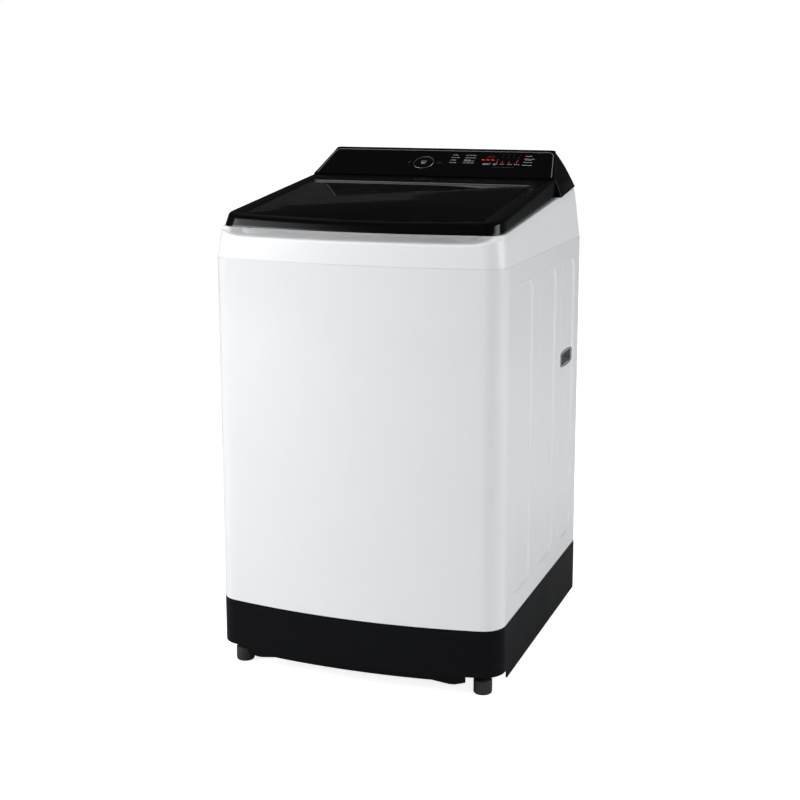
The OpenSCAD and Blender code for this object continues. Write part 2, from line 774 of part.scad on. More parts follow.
module lid_frame() color([0.08, 0.08, 0.09]) difference() {
    union() {
        difference() {
            lid_body(0);
            lid_body(lid_wall);
        }
        both_sides() intersection() {
            lid_body(0);
            along_x(hinge_x + hinge_t + seat_gap, hinge_y, hinge_z) cylinder(r = 9, h = 40);
        }
        intersection() {
            lid_body(0);
            glass_outline(-8, 9, -9);
        }
    }
    glass_outline(0, glass_t + 5, -glass_t);
    glass_outline(10, 30, -25);
    both_sides() along_x(hinge_x, hinge_y, hinge_z) cylinder(r = hinge_pin_r, h = 17);
    // Notches in the heel that clear the brackets as the lid turns
    both_sides() block([hinge_x - 2, hinge_y + hinge_ear_r, hinge_z - 35],
        [hinge_x + hinge_t + seat_gap, lid_y + 1, hinge_z + 7.5]);
    // Heel cut to a round, so that it turns clear of the cover
    across([[hinge_y, hinge_z - 40], [hinge_y + 30, hinge_z - 40],
        each arc([hinge_y, hinge_z], heel_r, -45, -90, 12)]);
}

module lid_glass() color([0.1, 0.1, 0.12, 0.6]) glass_outline(0.3, glass_t, -glass_t);

module lid_inner_frame() color([0.15, 0.15, 0.16]) difference() {
    intersection() {
        lid_walls(lid_wall + 0.2);
        across([[y_front - 5, rim_z + lid_gap + 1], [rim_bend_y, rim_z + lid_gap + 1],
            [hinge_y - 20, rim_height(hinge_y - 20) + lid_gap + 1],
            [hinge_y - 20, rim_height(hinge_y - 20) + lid_gap + 3.5],
            [rim_bend_y, rim_z + lid_gap + 3.5], [y_front - 5, rim_z + lid_gap + 3.5]]);
    }
    translate([0, 0, rim_z - 10]) linear_extrude(100) translate([0, (well_front_y + glass_back_y) / 2])
        rounded(glass_w - 24, glass_back_y - well_front_y - 24, 30);
}

module lid_hinge_pins() color("silver") both_sides()
    along_x(hinge_x + 0.5, hinge_y, hinge_z) cylinder(r = hinge_pin_r, h = 15);

module lid_strike() color("silver") difference() {
    z = rim_height(strike_y);
    block([strike_x - strike_t / 2, strike_y - 8, z - 18],
        [strike_x + strike_t / 2, strike_y + 8, rim_height(strike_y - 8) + lid_gap + 1]);
    block([strike_x - 5, strike_y - 4, strike_hole_z() - 4],
        [strike_x + 5, strike_y + 4, strike_hole_z() + 4]);
}

// ---- console -------------------------------------------------------------------------------

// Places children on the control face: x to the right, y up the slope, z out of it
module on_face(x = 0, up = 0, out = 0) {
    translate([0, face_y, face_z]) rotate([face_rake, 0, 0]) translate([x, up, out]) children();
}

console_profile = concat(
    [[hinge_y + hinge_turn_r, rim_height(hinge_y + hinge_turn_r)], [y_back - 1, rim_height(y_back - 1)]],
    arc([y_back - console_bend_r - 1, console_bend_z], console_bend_r, 0, 50, 4),
    [[face_top_y + 14, top_z]],
    [[face_top_y + 6, top_z], [face_top_y, face_top_z], [face_y, face_z]],
    arc([hinge_y, hinge_z], hinge_turn_r, lip_angle - 10, 0, 4));

// The profile drawn in by d along its edges' normals
function drawn_in(p, d) = [for (i = [0:len(p) - 1]) let(
    b = p[i], u = unit(b - p[(i + len(p) - 1) % len(p)]), v = unit(p[(i + 1) % len(p)] - b),
    m = [-u[1], u[0]], n = [-v[1], v[0]]) b + d * (m + n) / (1 + m * n)];

function unit(v) = v / norm(v);

// Front view of the console: leaning sides and round upper corners
module console_front(e) {
    low_z = rim_z - 10;
    lean = (half_w - lid_side - face_high_w / 2) / (top_z - console_foot_z);
    low_x = half_w - lid_side + (console_foot_z - low_z) * lean;
    high_x = face_high_w / 2;
    r = 14;
    difference() {
        polygon([[e - low_x, low_z], [low_x - e, low_z], [high_x - e, top_z - e], [e - high_x, top_z - e]]);
        for (s = [0, 1]) mirror([s, 0]) difference() {
            translate([high_x - e - r, top_z - e - r]) rotate([0, 0, -12]) square(2 * r);
            translate([high_x - e - r * 1.2, top_z - e - r]) circle(r = r, $fn = 48);
        }
    }
}

module console_body(e) {
    intersection() {
        across(e == 0 ? console_profile : drawn_in(console_profile, e));
        translate([0, y_back + 20, 0]) rotate([90, 0, 0]) linear_extrude(220) console_front(e);
    }
}

module face_plate(e, t, out) {
    on_face(0, 0, out) linear_extrude(t)
        polygon([[e - face_low_w / 2, e + 1], [face_low_w / 2 - e, e + 1],
            [face_high_w / 2 - e, face_len - e - 1], [e - face_high_w / 2, face_len - e - 1]]);
}

module console_housing() color([0.07, 0.07, 0.08]) {
    difference() {
        console_body(0);
        difference() {
            console_body(console_wall);
            face_plate(0, 3 + panel_t, -3 - panel_t);
        }
        face_plate(2, 20, -panel_t);
        on_face(key_x, panel_up, -30) cylinder(r = key_r - 4, h = 60);
        on_face(display_at[0], display_at[1], -30) cube([display_box[0], display_box[1], 60]);
        block([65 - half_w, lid_y + 50, rim_z], [half_w - 65, y_back - 22, rim_height(y_back)]);
    }
    // Bosses that the circuit board is screwed to
    for (x = [40, 144, board_size[0] - 9], up = [8, board_size[1] - 8])
        on_face(board_at[0] + x, board_at[1] + up, board_z) cylinder(r = 3.5, h = -board_z - panel_t - 2);
}

module panel_trim() color("gray") difference() {
    face_plate(2, panel_t + 0.3, -panel_t);
    face_plate(2 + trim_w, panel_t + 5, -panel_t - 1);
    on_face(-face_low_w / 2, 0, -panel_t - 1) cube([face_low_w, 2 + trim_w + 1.05, 10]);
}

module control_panel() color([0.02, 0.02, 0.02]) difference() {
    face_plate(2 + trim_w, panel_t, -panel_t);
    on_face(key_x, panel_up, -20) cylinder(r = ring_r, h = 40);
}

module course_ring() color("silver") on_face(key_x, panel_up, -panel_t) {
    difference() {
        cylinder(r = ring_r, h = panel_t + 0.8);
        translate([0, 0, -1]) cylinder(r = key_r + 0.4, h = 10);
    }
}

module course_key() color([0.1, 0.1, 0.1]) on_face(key_x, panel_up, 0) {
    translate([0, 0, key_travel - panel_t + seat_gap]) cylinder(r = key_r, h = panel_t - seat_gap - 0.4);
    translate([0, 0, board_z + 8]) cylinder(r = 5, h = -board_z - 8 - 1);
}

module display_module() color("dimgray")
    on_face(display_at[0] + 1, display_at[1] + 1, -panel_t - display_box[2]) {
        leg = -board_z - panel_t - display_box[2];
        cube([display_box[0] - 2, display_box[1] - 2, display_box[2]]);
        for (x = [10, display_box[0] - 18], y = [8, display_box[1] - 12]) translate([x, y, -leg])
            cylinder(r = 2, h = leg);
    }

module main_board() color("darkgreen") on_face(0, 0, board_z) {
    translate([board_at[0], board_at[1], -board_size[2]]) cube(board_size);
    translate([key_x - 6, panel_up - 6, 0]) cube([12, 12, 8 - key_travel - seat_gap]);
    translate([20, 30, 0]) cube([26, 20, 12]);
    for (x = [0, 26, 52]) translate([x - 20, 66, -board_size[2] - 16]) cylinder(r = 8, h = 16);
    translate([100, 20, -board_size[2] - 18]) cube([40, 30, 18]);
}

// ---- dispenser and water --------------------------------------------------------------------

module dispenser_box() color("whitesmoke") {
    in_w = drawer_w - 12;
    out_w = in_w + 2 * box_wall;
    y0 = well_back_y + cover_wall;
    z0 = drawer_z + 1.5;
    difference() {
        union() {
            block([-out_w / 2, y0, z0 - box_wall], [out_w / 2, y0 + box_len, drawer_z + drawer_h - 2]);
            block([-out_w / 2 - 10, y0, z0 - box_wall - 4],
                [out_w / 2 + 10, y0 + box_wall, drawer_z + drawer_h + 2]);
        }
        block([-in_w / 2, y0 - 5, z0],
            [in_w / 2, y0 + box_len - box_wall, drawer_z + drawer_h - 2 - box_wall]);
        block([-drawer_w / 2 - slide_gap, y0 - 5, drawer_z - slide_gap],
            [drawer_w / 2 + slide_gap, y0 + box_wall - 0.5, drawer_z + drawer_h - 1]);
        for (x = [-60, 0, 60]) translate([x, y0 + 12, z0 - 10]) cube([20, 14, 12]);
        along_x(in_w / 2 - 5, y0 + box_len - 22, valve_z) cylinder(r = 6, h = 20);
    }
}

module detergent_drawer() color("lightgray") {
    tray_w = drawer_w - 12 - 2 * seat_gap - 1;
    z0 = drawer_z + 1.5 + seat_gap;
    z1 = drawer_z + drawer_h - 12;
    difference() {
        union() {
            translate([0, drawer_y + 1, drawer_z + drawer_h / 2]) rotate([90, 0, 0]) linear_extrude(4)
                rounded(drawer_w, drawer_h, 10);
            block([-tray_w / 2, drawer_y + 1, z0], [tray_w / 2, drawer_y + drawer_len, z1]);
        }
        for (x = [[-tray_w / 2 + tray_wall, -tray_wall / 2 - 12], [tray_wall / 2 - 12, 60],
            [60 + tray_wall, tray_w / 2 - tray_wall]])
            block([x[0], drawer_y + 1 + tray_wall, z0 + tray_wall],
                [x[1], drawer_y + drawer_len - tray_wall, z1 + 5]);
        // Finger scoop under the face's upper edge
        translate([0, drawer_y - 4, drawer_z + 2]) rotate([0, 90, 0])
            cylinder(r = 5, h = 90, center = true);
    }
}

module siphon_cap() color("steelblue")
    translate([82, drawer_y + 30, drawer_z + 1.5 + seat_gap + tray_wall]) {
    tube(9, 4, 22);
    translate([0, 0, 22]) cylinder(r = 13, h = 3);
}

module inlet_valve() color("white") {
    wall_y = y_back - cover_wall;
    low_x = valve_x - valve_w / 2;
    difference() {
        union() {
            for (s = [-1, 1]) {
                along_y(valve_x + s * stub_gap / 2, wall_y - 40, valve_z) {
                    cylinder(r = stub_r + stub_shoulder, h = 40 + cover_wall);
                    cylinder(r = stub_r, h = 40 + cover_wall + stub_out);
                }
                along_y(valve_x + s * stub_gap / 2, wall_y - 12, valve_z) cylinder(r = stub_r + 5, h = 12);
                translate([valve_x + s * stub_gap / 2, wall_y - 40, valve_z - 46]) cylinder(r = 14, h = 36);
            }
            block([low_x, wall_y - 54, valve_z - 12], [low_x + valve_w, wall_y - 28, valve_z + 12]);
            along_x((drawer_w - 12) / 2 + box_wall, well_back_y + cover_wall + box_len - 22, valve_z)
                cylinder(r = 8, h = low_x - (drawer_w - 12) / 2 - box_wall + 12);
            block([low_x, well_back_y + cover_wall + box_len - 30, valve_z - 10],
                [low_x + 20, wall_y - 40, valve_z + 10]);
        }
        for (s = [-1, 1]) along_y(valve_x + s * stub_gap / 2, wall_y - 20, valve_z)
            cylinder(r = stub_r - 3, h = 60);
    }
}

module pressure_sensor() color("ivory") {
    along_y(sensor_x, y_back - cover_wall - 24, rim_z + 2) cylinder(r = sensor_r, h = 24);
    translate([sensor_x, y_back - cover_wall - 12, rim_z - 32]) cylinder(r = 4, h = 20);
}

module drain_pump() color("dimgray") {
    along_x(pump[0] - pump_w / 2, pump[1], pump[2]) cylinder(r = pump_r, h = pump_w);
    along_x(pump[0] - pump_w / 2 - motor_len + 2, pump[1], pump[2]) cylinder(r = motor_r, h = motor_len);
    translate([pump[0], pump[1], bellows_low_z - 22]) tube(bellows_r, bellows_r - 3, 36);
    along_y(pump[0], pump[1], outlet_z) difference() {
        cylinder(r = drain_r + stub_shoulder + 2, h = outlet_y + 20);
        translate([0, 0, outlet_y]) cylinder(r = drain_r + stub_shoulder, h = 30);
    }
    block([pump[0] - foot_len / 2, pump[1] - 28, pump[2] - pump_r],
        [pump[0] + foot_len / 2, pump[1] + 28, pump[2] - pump_r + 8]);
}

module drain_outlet() color("gray") along_y(pump[0], pump[1] + outlet_y, outlet_z) {
    length = y_back + stub_out - pump[1] - outlet_y;
    difference() {
        union() {
            cylinder(r = drain_r, h = length);
            cylinder(r = drain_r + stub_shoulder, h = length - stub_out);
            translate([0, 0, length - stub_out - base_wall - 5])
                cylinder(r = drain_r + stub_shoulder + 2.5, h = 5);
        }
        translate([0, 0, -1]) cylinder(r = drain_r - 2, h = length + 2);
    }
}

// Rubber bellows between the tub's sump and the pump
module drain_bellows() color("black") {
    low = bellows_low_z;
    high = tub_z - 10;
    folds = 5;
    step = (high - low - 24) / folds;
    translate([pump[0], pump[1], 0]) rotate_extrude() polygon(concat(
        [[bellows_r, low], [sump_r, low], [sump_r, low + 12]],
        [for (i = [0:folds - 1], p = [[6, 0.5], [0, 1]]) [sump_r + p[0], low + 12 + (i + p[1]) * step]],
        [[sump_r, high], [bellows_r, high]],
        [for (i = [folds - 1:-1:0], p = [[0, 1], [6, 0.5]])
            [bellows_r + p[0], low + 12 + (i + p[1]) * step]],
        [[bellows_r, low + 12]]));
}

module cord_gland() color("black") along_y(gland_x, y_back - sheet_t - 8, rod_top_z) difference() {
    union() {
        cylinder(r = gland_r - seat_gap, h = 13);
        cylinder(r = gland_r + 4, h = 8);
        translate([0, 0, 8 + sheet_t]) cylinder(r = gland_r + 4, h = 3);
    }
    translate([0, 0, -1]) cylinder(r = 4.5, h = 20);
}

// ---- suspension ----------------------------------------------------------------------------

module at_rods() {
    for (x = [-1, 1], y = [-1, 1]) translate([x * rod_off, drum_y + y * rod_off, 0]) children();
}

module suspension_hangers() color("silver") difference() {
    intersection() {
        translate([0, 0, rod_top_z - 4]) linear_extrude(4) plan(sheet_t);
        union() {
            at_rods() cylinder(r = 30, h = seam_z);
            both_sides() for (y = [-1, 1])
                block([rod_off, drum_y + y * rod_off - 30, 0], [half_w, drum_y + y * rod_off + 30, seam_z]);
        }
    }
    at_rods() cylinder(r = rod_r, h = seam_z);
}

module suspension_rods() color("silver") at_rods() {
    translate([0, 0, spring_z - 6]) cylinder(r = rod_r, h = rod_top_z - spring_z + 6);
    translate([0, 0, spring_z - 6]) cylinder(r = spring_r + 4, h = 6);
    translate([0, 0, rod_top_z]) cylinder(r1 = 11, r2 = 7, h = 9);
}

// One coil: a closed tube swept along a helix
module coil(r, wire, height, turns) {
    n = turns * 14;
    m = 6;
    polyhedron(
        points = [for (i = [0:n], j = [0:m - 1])
            let(a = 360 * turns * i / n, q = r + wire * cos(360 * j / m))
            [q * cos(a), q * sin(a), wire + (height - 2 * wire) * i / n + wire * sin(360 * j / m)]],
        faces = concat([[for (j = [0:m - 1]) j]], [[for (j = [m - 1:-1:0]) n * m + j]],
            [for (i = [0:n - 1], j = [0:m - 1])
                [i * m + j, (i + 1) * m + j, (i + 1) * m + (j + 1) % m, i * m + (j + 1) % m]]));
}

module suspension_springs() color("gray") at_rods() translate([0, 0, spring_z + seat_gap])
    coil(spring_r, wire_r, spring_len - 2 * seat_gap, 5);

module spring_seats() color("whitesmoke") at_rods() translate([0, 0, seat_z]) difference() {
    union() {
        cylinder(r = spring_r + 4, h = 5);
        cylinder(r = rod_r + 5, h = 12);
    }
    translate([0, 0, -1]) cylinder(r = rod_r + run_fit, h = 20);
}

// ---- tub -----------------------------------------------------------------------------------

module about_drum(z = 0) {
    translate([0, drum_y, z]) children();
}

module outer_tub() color([0.85, 0.87, 0.88]) difference() {
    union() {
        about_drum(tub_z) cylinder(r = tub_r + tub_wall, h = tub_top_z - tub_z, $fn = 128);
        about_drum(tub_top_z - 14) cylinder(r = tub_r + tub_wall + 5, h = 6, $fn = 128);
        for (i = [0:11]) about_drum(tub_z - 16) rotate([0, 0, 15 + 30 * i])
            block([housing_flange_r + 6, -2, 0], [tub_r, 2, 18]);
        at_rods() translate([0, 0, seat_z + 5]) cylinder(r = 22, h = ear_t);
        for (a = [45:90:315]) about_drum(seat_z + 6) rotate([0, 0, a])
            block([tub_r + 1, -19, 0], [rod_off * sqrt(2), 19, ear_t - 2]);
        translate([pump[0], pump[1], tub_z - 30]) cylinder(r = bellows_r, h = 32);
    }
    about_drum(tub_z + tub_wall + 1) cylinder(r = tub_r, h = tub_top_z, $fn = 128);
    about_drum(tub_z - 20) cylinder(r = housing_r, h = 60);
    translate([pump[0], pump[1], tub_z - 40]) cylinder(r = bellows_r - 3, h = 60);
    at_rods() cylinder(r = rod_r + 5, h = tub_top_z);
}

module tub_cover() color([0.85, 0.87, 0.88]) about_drum() rotate_extrude($fn = 128) polygon([
    [mouth_r + 2, tub_top_z + 8], [mouth_r + 5, tub_top_z + 12], [mouth_r + 12, tub_top_z + 8],
    [tub_r + 6, tub_top_z + 6], [tub_r + 10, tub_top_z + 2], [tub_r + 10, tub_top_z - 8],
    [tub_r + tub_wall + 5, tub_top_z - 8], [tub_r + tub_wall + 5, tub_top_z], [tub_r - 6, tub_top_z],
    [mouth_r + 10, tub_top_z + 3], [mouth_r + 5, tub_top_z + 8], [mouth_r + 4, tub_top_z - 2],
    [mouth_r + 2, tub_top_z - 2]]);

module bearing_housing() color("slategray") about_drum() difference() {
    union() {
        translate([0, 0, bearing_low_z - 4])
            cylinder(r = housing_r, h = tub_z + tub_wall + 7 - bearing_low_z);
        translate([0, 0, tub_z - 12]) cylinder(r = housing_flange_r, h = 12);
        for (i = [0:5]) rotate([0, 0, 60 * i])
            block([housing_r - 2, -3, tub_z - 34], [stator_bore_r - 4, 3, tub_z - 10]);
    }
    translate([0, 0, bearing_low_z - 5]) cylinder(r = bearing_r, h = bearing_w + 5);
    translate([0, 0, bearing_low_z]) cylinder(r = bearing_r - bearing_seat, h = tub_z - bearing_low_z);
    translate([0, 0, bearing_high_z]) cylinder(r = bearing_r, h = 60);
}

module spin_bearings() color("silver") for (z = [bearing_low_z, bearing_high_z]) about_drum(z)
    tube(bearing_r, spin_r + run_fit, bearing_w);

module shaft_seal() color("black") about_drum(tub_z + 1) tube(bearing_r, spin_r + run_fit, 8);

// Stator ring with T-shaped teeth, carried by six lugs
module stator() color("peru") about_drum(stator_z) difference() {
    union() {
        cylinder(r = stator_bore_r + 14, h = 26);
        for (i = [0:teeth - 1]) rotate([0, 0, 360 * i / teeth]) {
            block([stator_bore_r + 10, -5, 3], [stator_r - 6, 5, 23]);
            intersection() {
                block([stator_r - 8, -11, 1], [stator_r + 1, 11, 25]);
                cylinder(r = stator_r, h = 30);
            }
        }
        for (i = [0:5]) rotate([0, 0, 30 + 60 * i]) translate([stator_bore_r + 6, 0, 20])
            cylinder(r = 6, h = 16);
    }
    translate([0, 0, -1]) cylinder(r = stator_bore_r, h = 30);
}

// ---- drum ----------------------------------------------------------------------------------

module drum_shell() color("silver") about_drum() difference() {
    translate([0, 0, drum_floor_z])
        tube_wall(drum_r, drum_wall, drum_top_z - balance_h - drum_floor_z + 10);
    for (k = [0:hole_rows - 1], i = [0:holes_per_row - 1])
        rotate([0, 0, (360 / holes_per_row) * (i + (k % 2) / 2)])
            along_x(drum_r - drum_wall - 3, 0, drum_floor_z + hole_low + k * hole_pitch)
                cylinder(r = hole_r, h = drum_wall + 6, $fn = 16);
}

module tube_wall(r, t, h) {
    difference() {
        cylinder(r = r, h = h, $fn = 128);
        translate([0, 0, -1]) cylinder(r = r - t, h = h + 2, $fn = 128);
    }
}

module drum_floor() color("whitesmoke") about_drum() difference() {
    rotate_extrude($fn = 128) polygon([[hub_r - 12, drum_floor_z], [drum_r - drum_wall, drum_floor_z],
        [drum_r - drum_wall, drum_floor_z + 46], [drum_r - drum_wall - 5, drum_floor_z + 46],
        [pulsator_r + 8, drum_floor_z + 14], [pulsator_r + 2, drum_floor_z + 4],
        [hub_r - 12, drum_floor_z + 4]]);
    for (i = [0:11]) rotate([0, 0, 30 * i]) translate([pulsator_r - 68, 0, drum_floor_z - 1])
        cylinder(r = 8, h = 10);
}

module balance_ring() color("gainsboro") about_drum() rotate_extrude($fn = 128) polygon(concat(
    [[mouth_r + 4, drum_top_z - balance_h], [drum_r - drum_wall, drum_top_z - balance_h],
        [drum_r - drum_wall, drum_top_z - balance_h + 10], [drum_r + 3, drum_top_z - balance_h + 10]],
    [[drum_r + 3, drum_top_z - 4], [drum_r, drum_top_z - 1]],
    arc([mouth_r + 8, drum_top_z - 8], 7, 90, 180, 4)));

module drum_hub() color("lightgray") about_drum() difference() {
    union() {
        translate([0, 0, hub_z - 6]) cylinder(r = hub_r, h = drum_floor_z - hub_z + 6);
        for (i = [0:2]) rotate([0, 0, 120 * i]) difference() {
            linear_arm();
            for (i = [0:2]) translate([hub_r + 38 + 50 * i, 0, hub_z - 5]) cylinder(r = 11, h = 30);
        }
    }
    cylinder(r = spin_r, h = drum_top_z);
}

module linear_arm() {
    translate([0, 0, hub_z + 2]) linear_extrude(drum_floor_z - hub_z - 2)
        polygon([[0, -40], [drum_r - 8, -24], [drum_r - 8, 24], [0, 40]]);
}

module spin_shaft() color("silver") about_drum(bearing_low_z - 10)
    tube(spin_r, wash_r + run_fit, drum_floor_z + 6 - bearing_low_z + 10);

module clutch_sleeve() color("dimgray") about_drum(bearing_low_z - 10) tube(spin_r + 7, spin_r, 5);

module lint_filters() color("gainsboro") about_drum() for (a = [0, 180]) rotate([0, 0, a]) {
    x = drum_r - drum_wall - 24;
    low = (drum_floor_z + drum_top_z - balance_h - filter_h) / 2 + 53;
    high = low + filter_h;
    difference() {
        intersection() {
            block([x, -filter_w / 2, low], [drum_r, filter_w / 2, high]);
            cylinder(r = drum_r - drum_wall, h = high + 10, $fn = 128);
        }
        intersection() {
            block([x + 3, 4 - filter_w / 2, low + 20], [drum_r, filter_w / 2 - 4, high - 4]);
            cylinder(r = drum_r - drum_wall - 3, h = high + 10, $fn = 128);
        }
        for (z = [low + 35:20:high - 15])
            block([x - 1, 10 - filter_w / 2, z], [x + 5, filter_w / 2 - 10, z + 10]);
    }
}

// ---- pulsator and rotor --------------------------------------------------------------------

module pulsator() color("lightgray") about_drum() difference() {
    union() {
        rotate_extrude($fn = 128) polygon([[0, pulsator_z - 4], [60, pulsator_z - 4],
            [pulsator_r - 10, pulsator_z - 2],
            [pulsator_r, pulsator_z + 8], [pulsator_r - 6, pulsator_z + 9],
            [pulsator_r - 30, pulsator_z + 2], [60, pulsator_z + 5], [40, pulsator_z + 16], [0, pulsator_z + 20]]);
        // Curved vanes, low at the hub and at the rim
        intersection() {
            for (i = [0:vanes - 1]) rotate([0, 0, 360 * i / vanes])
                translate([vane_at[0], -vane_at[1], pulsator_z - 2]) intersection() {
                    tube(vane_r, vane_r - vane_t, vane_h);
                    block([-30, 40, 0], [vane_r + 22, vane_r + 22, vane_h]);
                }
            rotate_extrude($fn = 128) polygon([[34, pulsator_z - 1], [pulsator_r - 16, pulsator_z - 1],
                [pulsator_r - 24, pulsator_z + 14], [110, pulsator_z + 36],
                [60, pulsator_z + 33], [34, pulsator_z + 18]]);
        }
    }
    cylinder(r = wash_r, h = drum_top_z);
    translate([0, 0, pulsator_z + 14]) cylinder(r = cap_r, h = vane_h);
}

module pulsator_cap() color("gray") about_drum(pulsator_z + 14) {
    cylinder(r = cap_r, h = 5);
    translate([0, 0, 5]) cylinder(r1 = cap_r, r2 = cap_r - 5, h = 4);
}

module wash_shaft() color("silver") about_drum(rotor_z - 8)
    cylinder(r = wash_r, h = pulsator_z + 22 - rotor_z);

module rotor() color("gray") about_drum(rotor_z) difference() {
    union() {
        cylinder(r = rotor_r, h = 4);
        tube(rotor_r, rotor_r - rotor_wall, 44);
        translate([0, 0, 12]) tube(rotor_r - rotor_wall, stator_r + 2, 32);
        translate([0, 0, -6]) cylinder(r = rotor_hub_r, h = 12);
        for (i = [0:11]) rotate([0, 0, 30 * i])
            block([rotor_hub_r - 2, -1.5, 2], [rotor_r - 3, 1.5, 8]);
    }
    translate([0, 0, -10]) cylinder(r = wash_r, h = 40);
    for (i = [0:11]) rotate([0, 0, 15 + 30 * i]) translate([stator_bore_r + 10, 0, -5])
        cylinder(r = 10, h = 20);
}

cabinet_shell();
rear_panel();
service_cover();
base_frame();
bottom_guard();
rear_feet();
foot_lock_nuts();
front_foot_left();
front_foot_right();
top_cover();
console_housing();
control_panel();
panel_trim();
course_ring();
course_key();
display_module();
main_board();
side_grip_left();
side_grip_right();
hinge_brackets();
lid_lock();
lock_bolt();
lid_bumpers();
lid_frame();
lid_glass();
lid_inner_frame();
lid_hinge_pins();
lid_strike();
dispenser_box();
detergent_drawer();
siphon_cap();
inlet_valve();
pressure_sensor();
suspension_hangers();
suspension_rods();
suspension_springs();
spring_seats();
drain_pump();
drain_bellows();
drain_outlet();
cord_gland();
rear_screws();
outer_tub();
tub_cover();
bearing_housing();
spin_bearings();
shaft_seal();
stator();
drum_shell();
drum_floor();
balance_ring();
drum_hub();
spin_shaft();
clutch_sleeve();
lint_filters();
pulsator();
pulsator_cap();
wash_shaft();
rotor();
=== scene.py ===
# %% [markdown]
# # A top load washing machine
# The machine is a white steel cabinet on a black base, with a white plastic top cover, a black glass
# lid and a raked black console. This lesson dresses its solid parts: shells that need round edges and
# smooth curves are modelled anew around the solids, and the rest keep their shape and get a finish.

# %% Load the parts
import json
import math

import bmesh
import bpy
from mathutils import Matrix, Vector


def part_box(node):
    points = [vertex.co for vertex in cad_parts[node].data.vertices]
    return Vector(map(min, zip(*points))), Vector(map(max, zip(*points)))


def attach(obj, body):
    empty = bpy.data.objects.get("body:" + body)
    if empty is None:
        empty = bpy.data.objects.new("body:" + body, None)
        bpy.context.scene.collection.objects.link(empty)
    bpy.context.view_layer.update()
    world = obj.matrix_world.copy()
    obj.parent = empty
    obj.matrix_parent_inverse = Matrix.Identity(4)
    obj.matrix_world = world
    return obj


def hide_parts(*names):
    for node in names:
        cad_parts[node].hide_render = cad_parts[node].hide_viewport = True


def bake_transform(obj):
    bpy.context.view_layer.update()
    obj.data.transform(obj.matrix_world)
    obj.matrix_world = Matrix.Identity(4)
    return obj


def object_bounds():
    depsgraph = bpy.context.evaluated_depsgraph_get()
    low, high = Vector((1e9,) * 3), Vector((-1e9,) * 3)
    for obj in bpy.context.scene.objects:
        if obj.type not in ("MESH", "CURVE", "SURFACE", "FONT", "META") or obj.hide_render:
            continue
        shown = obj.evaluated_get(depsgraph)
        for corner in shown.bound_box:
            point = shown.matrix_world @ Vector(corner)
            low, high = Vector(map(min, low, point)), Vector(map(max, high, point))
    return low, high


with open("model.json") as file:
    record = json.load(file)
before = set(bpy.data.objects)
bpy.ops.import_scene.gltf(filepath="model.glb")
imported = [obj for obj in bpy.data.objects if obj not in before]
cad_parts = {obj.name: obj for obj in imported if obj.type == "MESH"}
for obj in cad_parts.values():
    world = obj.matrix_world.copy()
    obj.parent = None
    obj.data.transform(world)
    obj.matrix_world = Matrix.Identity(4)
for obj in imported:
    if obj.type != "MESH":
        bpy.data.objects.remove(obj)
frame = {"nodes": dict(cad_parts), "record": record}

nodes = frame["nodes"]
cad_low, cad_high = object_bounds()
scene = bpy.context.scene
mm = 0.001
print("parts:", len(nodes), "size:", [round(v, 4) for v in cad_high - cad_low])

# %% [markdown]
# ## The camera
# A machine this tall is seen whole from a few metres away, a little above its lid and to the right of
# its middle. A long lens keeps its upright edges nearly parallel.

# %% Camera
camera_data = bpy.data.cameras.new("camera")
camera_data.lens, camera_data.sensor_width = 66.48, 36
camera_data.shift_x, camera_data.shift_y = -0.0159, -0.06
camera = bpy.data.objects.new("camera", camera_data)
scene.collection.objects.link(camera)
scene.camera = camera
camera_turn, camera_height = math.radians(19.519), math.radians(10.848)
camera.location = (1.0585, -2.9362, 1.2266)
camera.rotation_euler = (math.radians(90) - camera_height, 0, camera_turn)
print("camera at", [round(v, 3) for v in camera.location])

# %% [markdown]
# ## The studio
# White goods are lit by broad soft boxes. The main one stands to the front left, so the bowed front
# turns slowly from bright to less bright. The background is white because the floor and the world are
# white to the eye, and not because more light falls on the machine. A mirror of that white would bleach
# the black parts, so gloss sees a dark world instead: a light path node tells the kinds of ray apart.

# %% Nodes and links
def new_node(tree, kind, **settings):
    """Adds a shader node and sets its plain settings and the values of its named inputs."""
    node = tree.nodes.new(kind)
    for key, value in settings.items():
        if hasattr(node, key):
            setattr(node, key, value)
        else:
            node.inputs[key.replace("_", " ")].default_value = value
    return node


def link(tree, *pairs):
    """Joins an output to an input, for each pair of sockets."""
    for source, target in pairs:
        tree.links.new(source, target)


def math_node(tree, kind, first, second):
    """Joins two sockets or numbers through a math node and gives its output."""
    node = new_node(tree, "ShaderNodeMath", operation=kind)
    for socket, source in zip(node.inputs, (first, second)):
        if isinstance(source, (int, float)):
            socket.default_value = source
        else:
            link(tree, (source, socket))
    return node.outputs[0]


def empty_tree(owner):
    """The node tree of a world or a material, without the nodes it comes with."""
    owner.use_nodes = True
    owner.node_tree.nodes.clear()
    return owner.node_tree


# %% Background
scene.view_settings.view_transform = "Standard"
world = bpy.data.worlds.new("studio")
scene.world = world
sky = empty_tree(world)
sky_place = new_node(sky, "ShaderNodeTexCoord")
sky_split = new_node(sky, "ShaderNodeSeparateXYZ")


def sky_ramp(low, high):
    """A strength that goes from low just under the horizon to high well above it."""
    ramp = new_node(sky, "ShaderNodeMapRange", From_Min=-0.1, From_Max=0.35, To_Min=low, To_Max=high)
    link(sky, (sky_split.outputs["Z"], ramp.inputs["Value"]))
    return ramp.outputs["Result"]


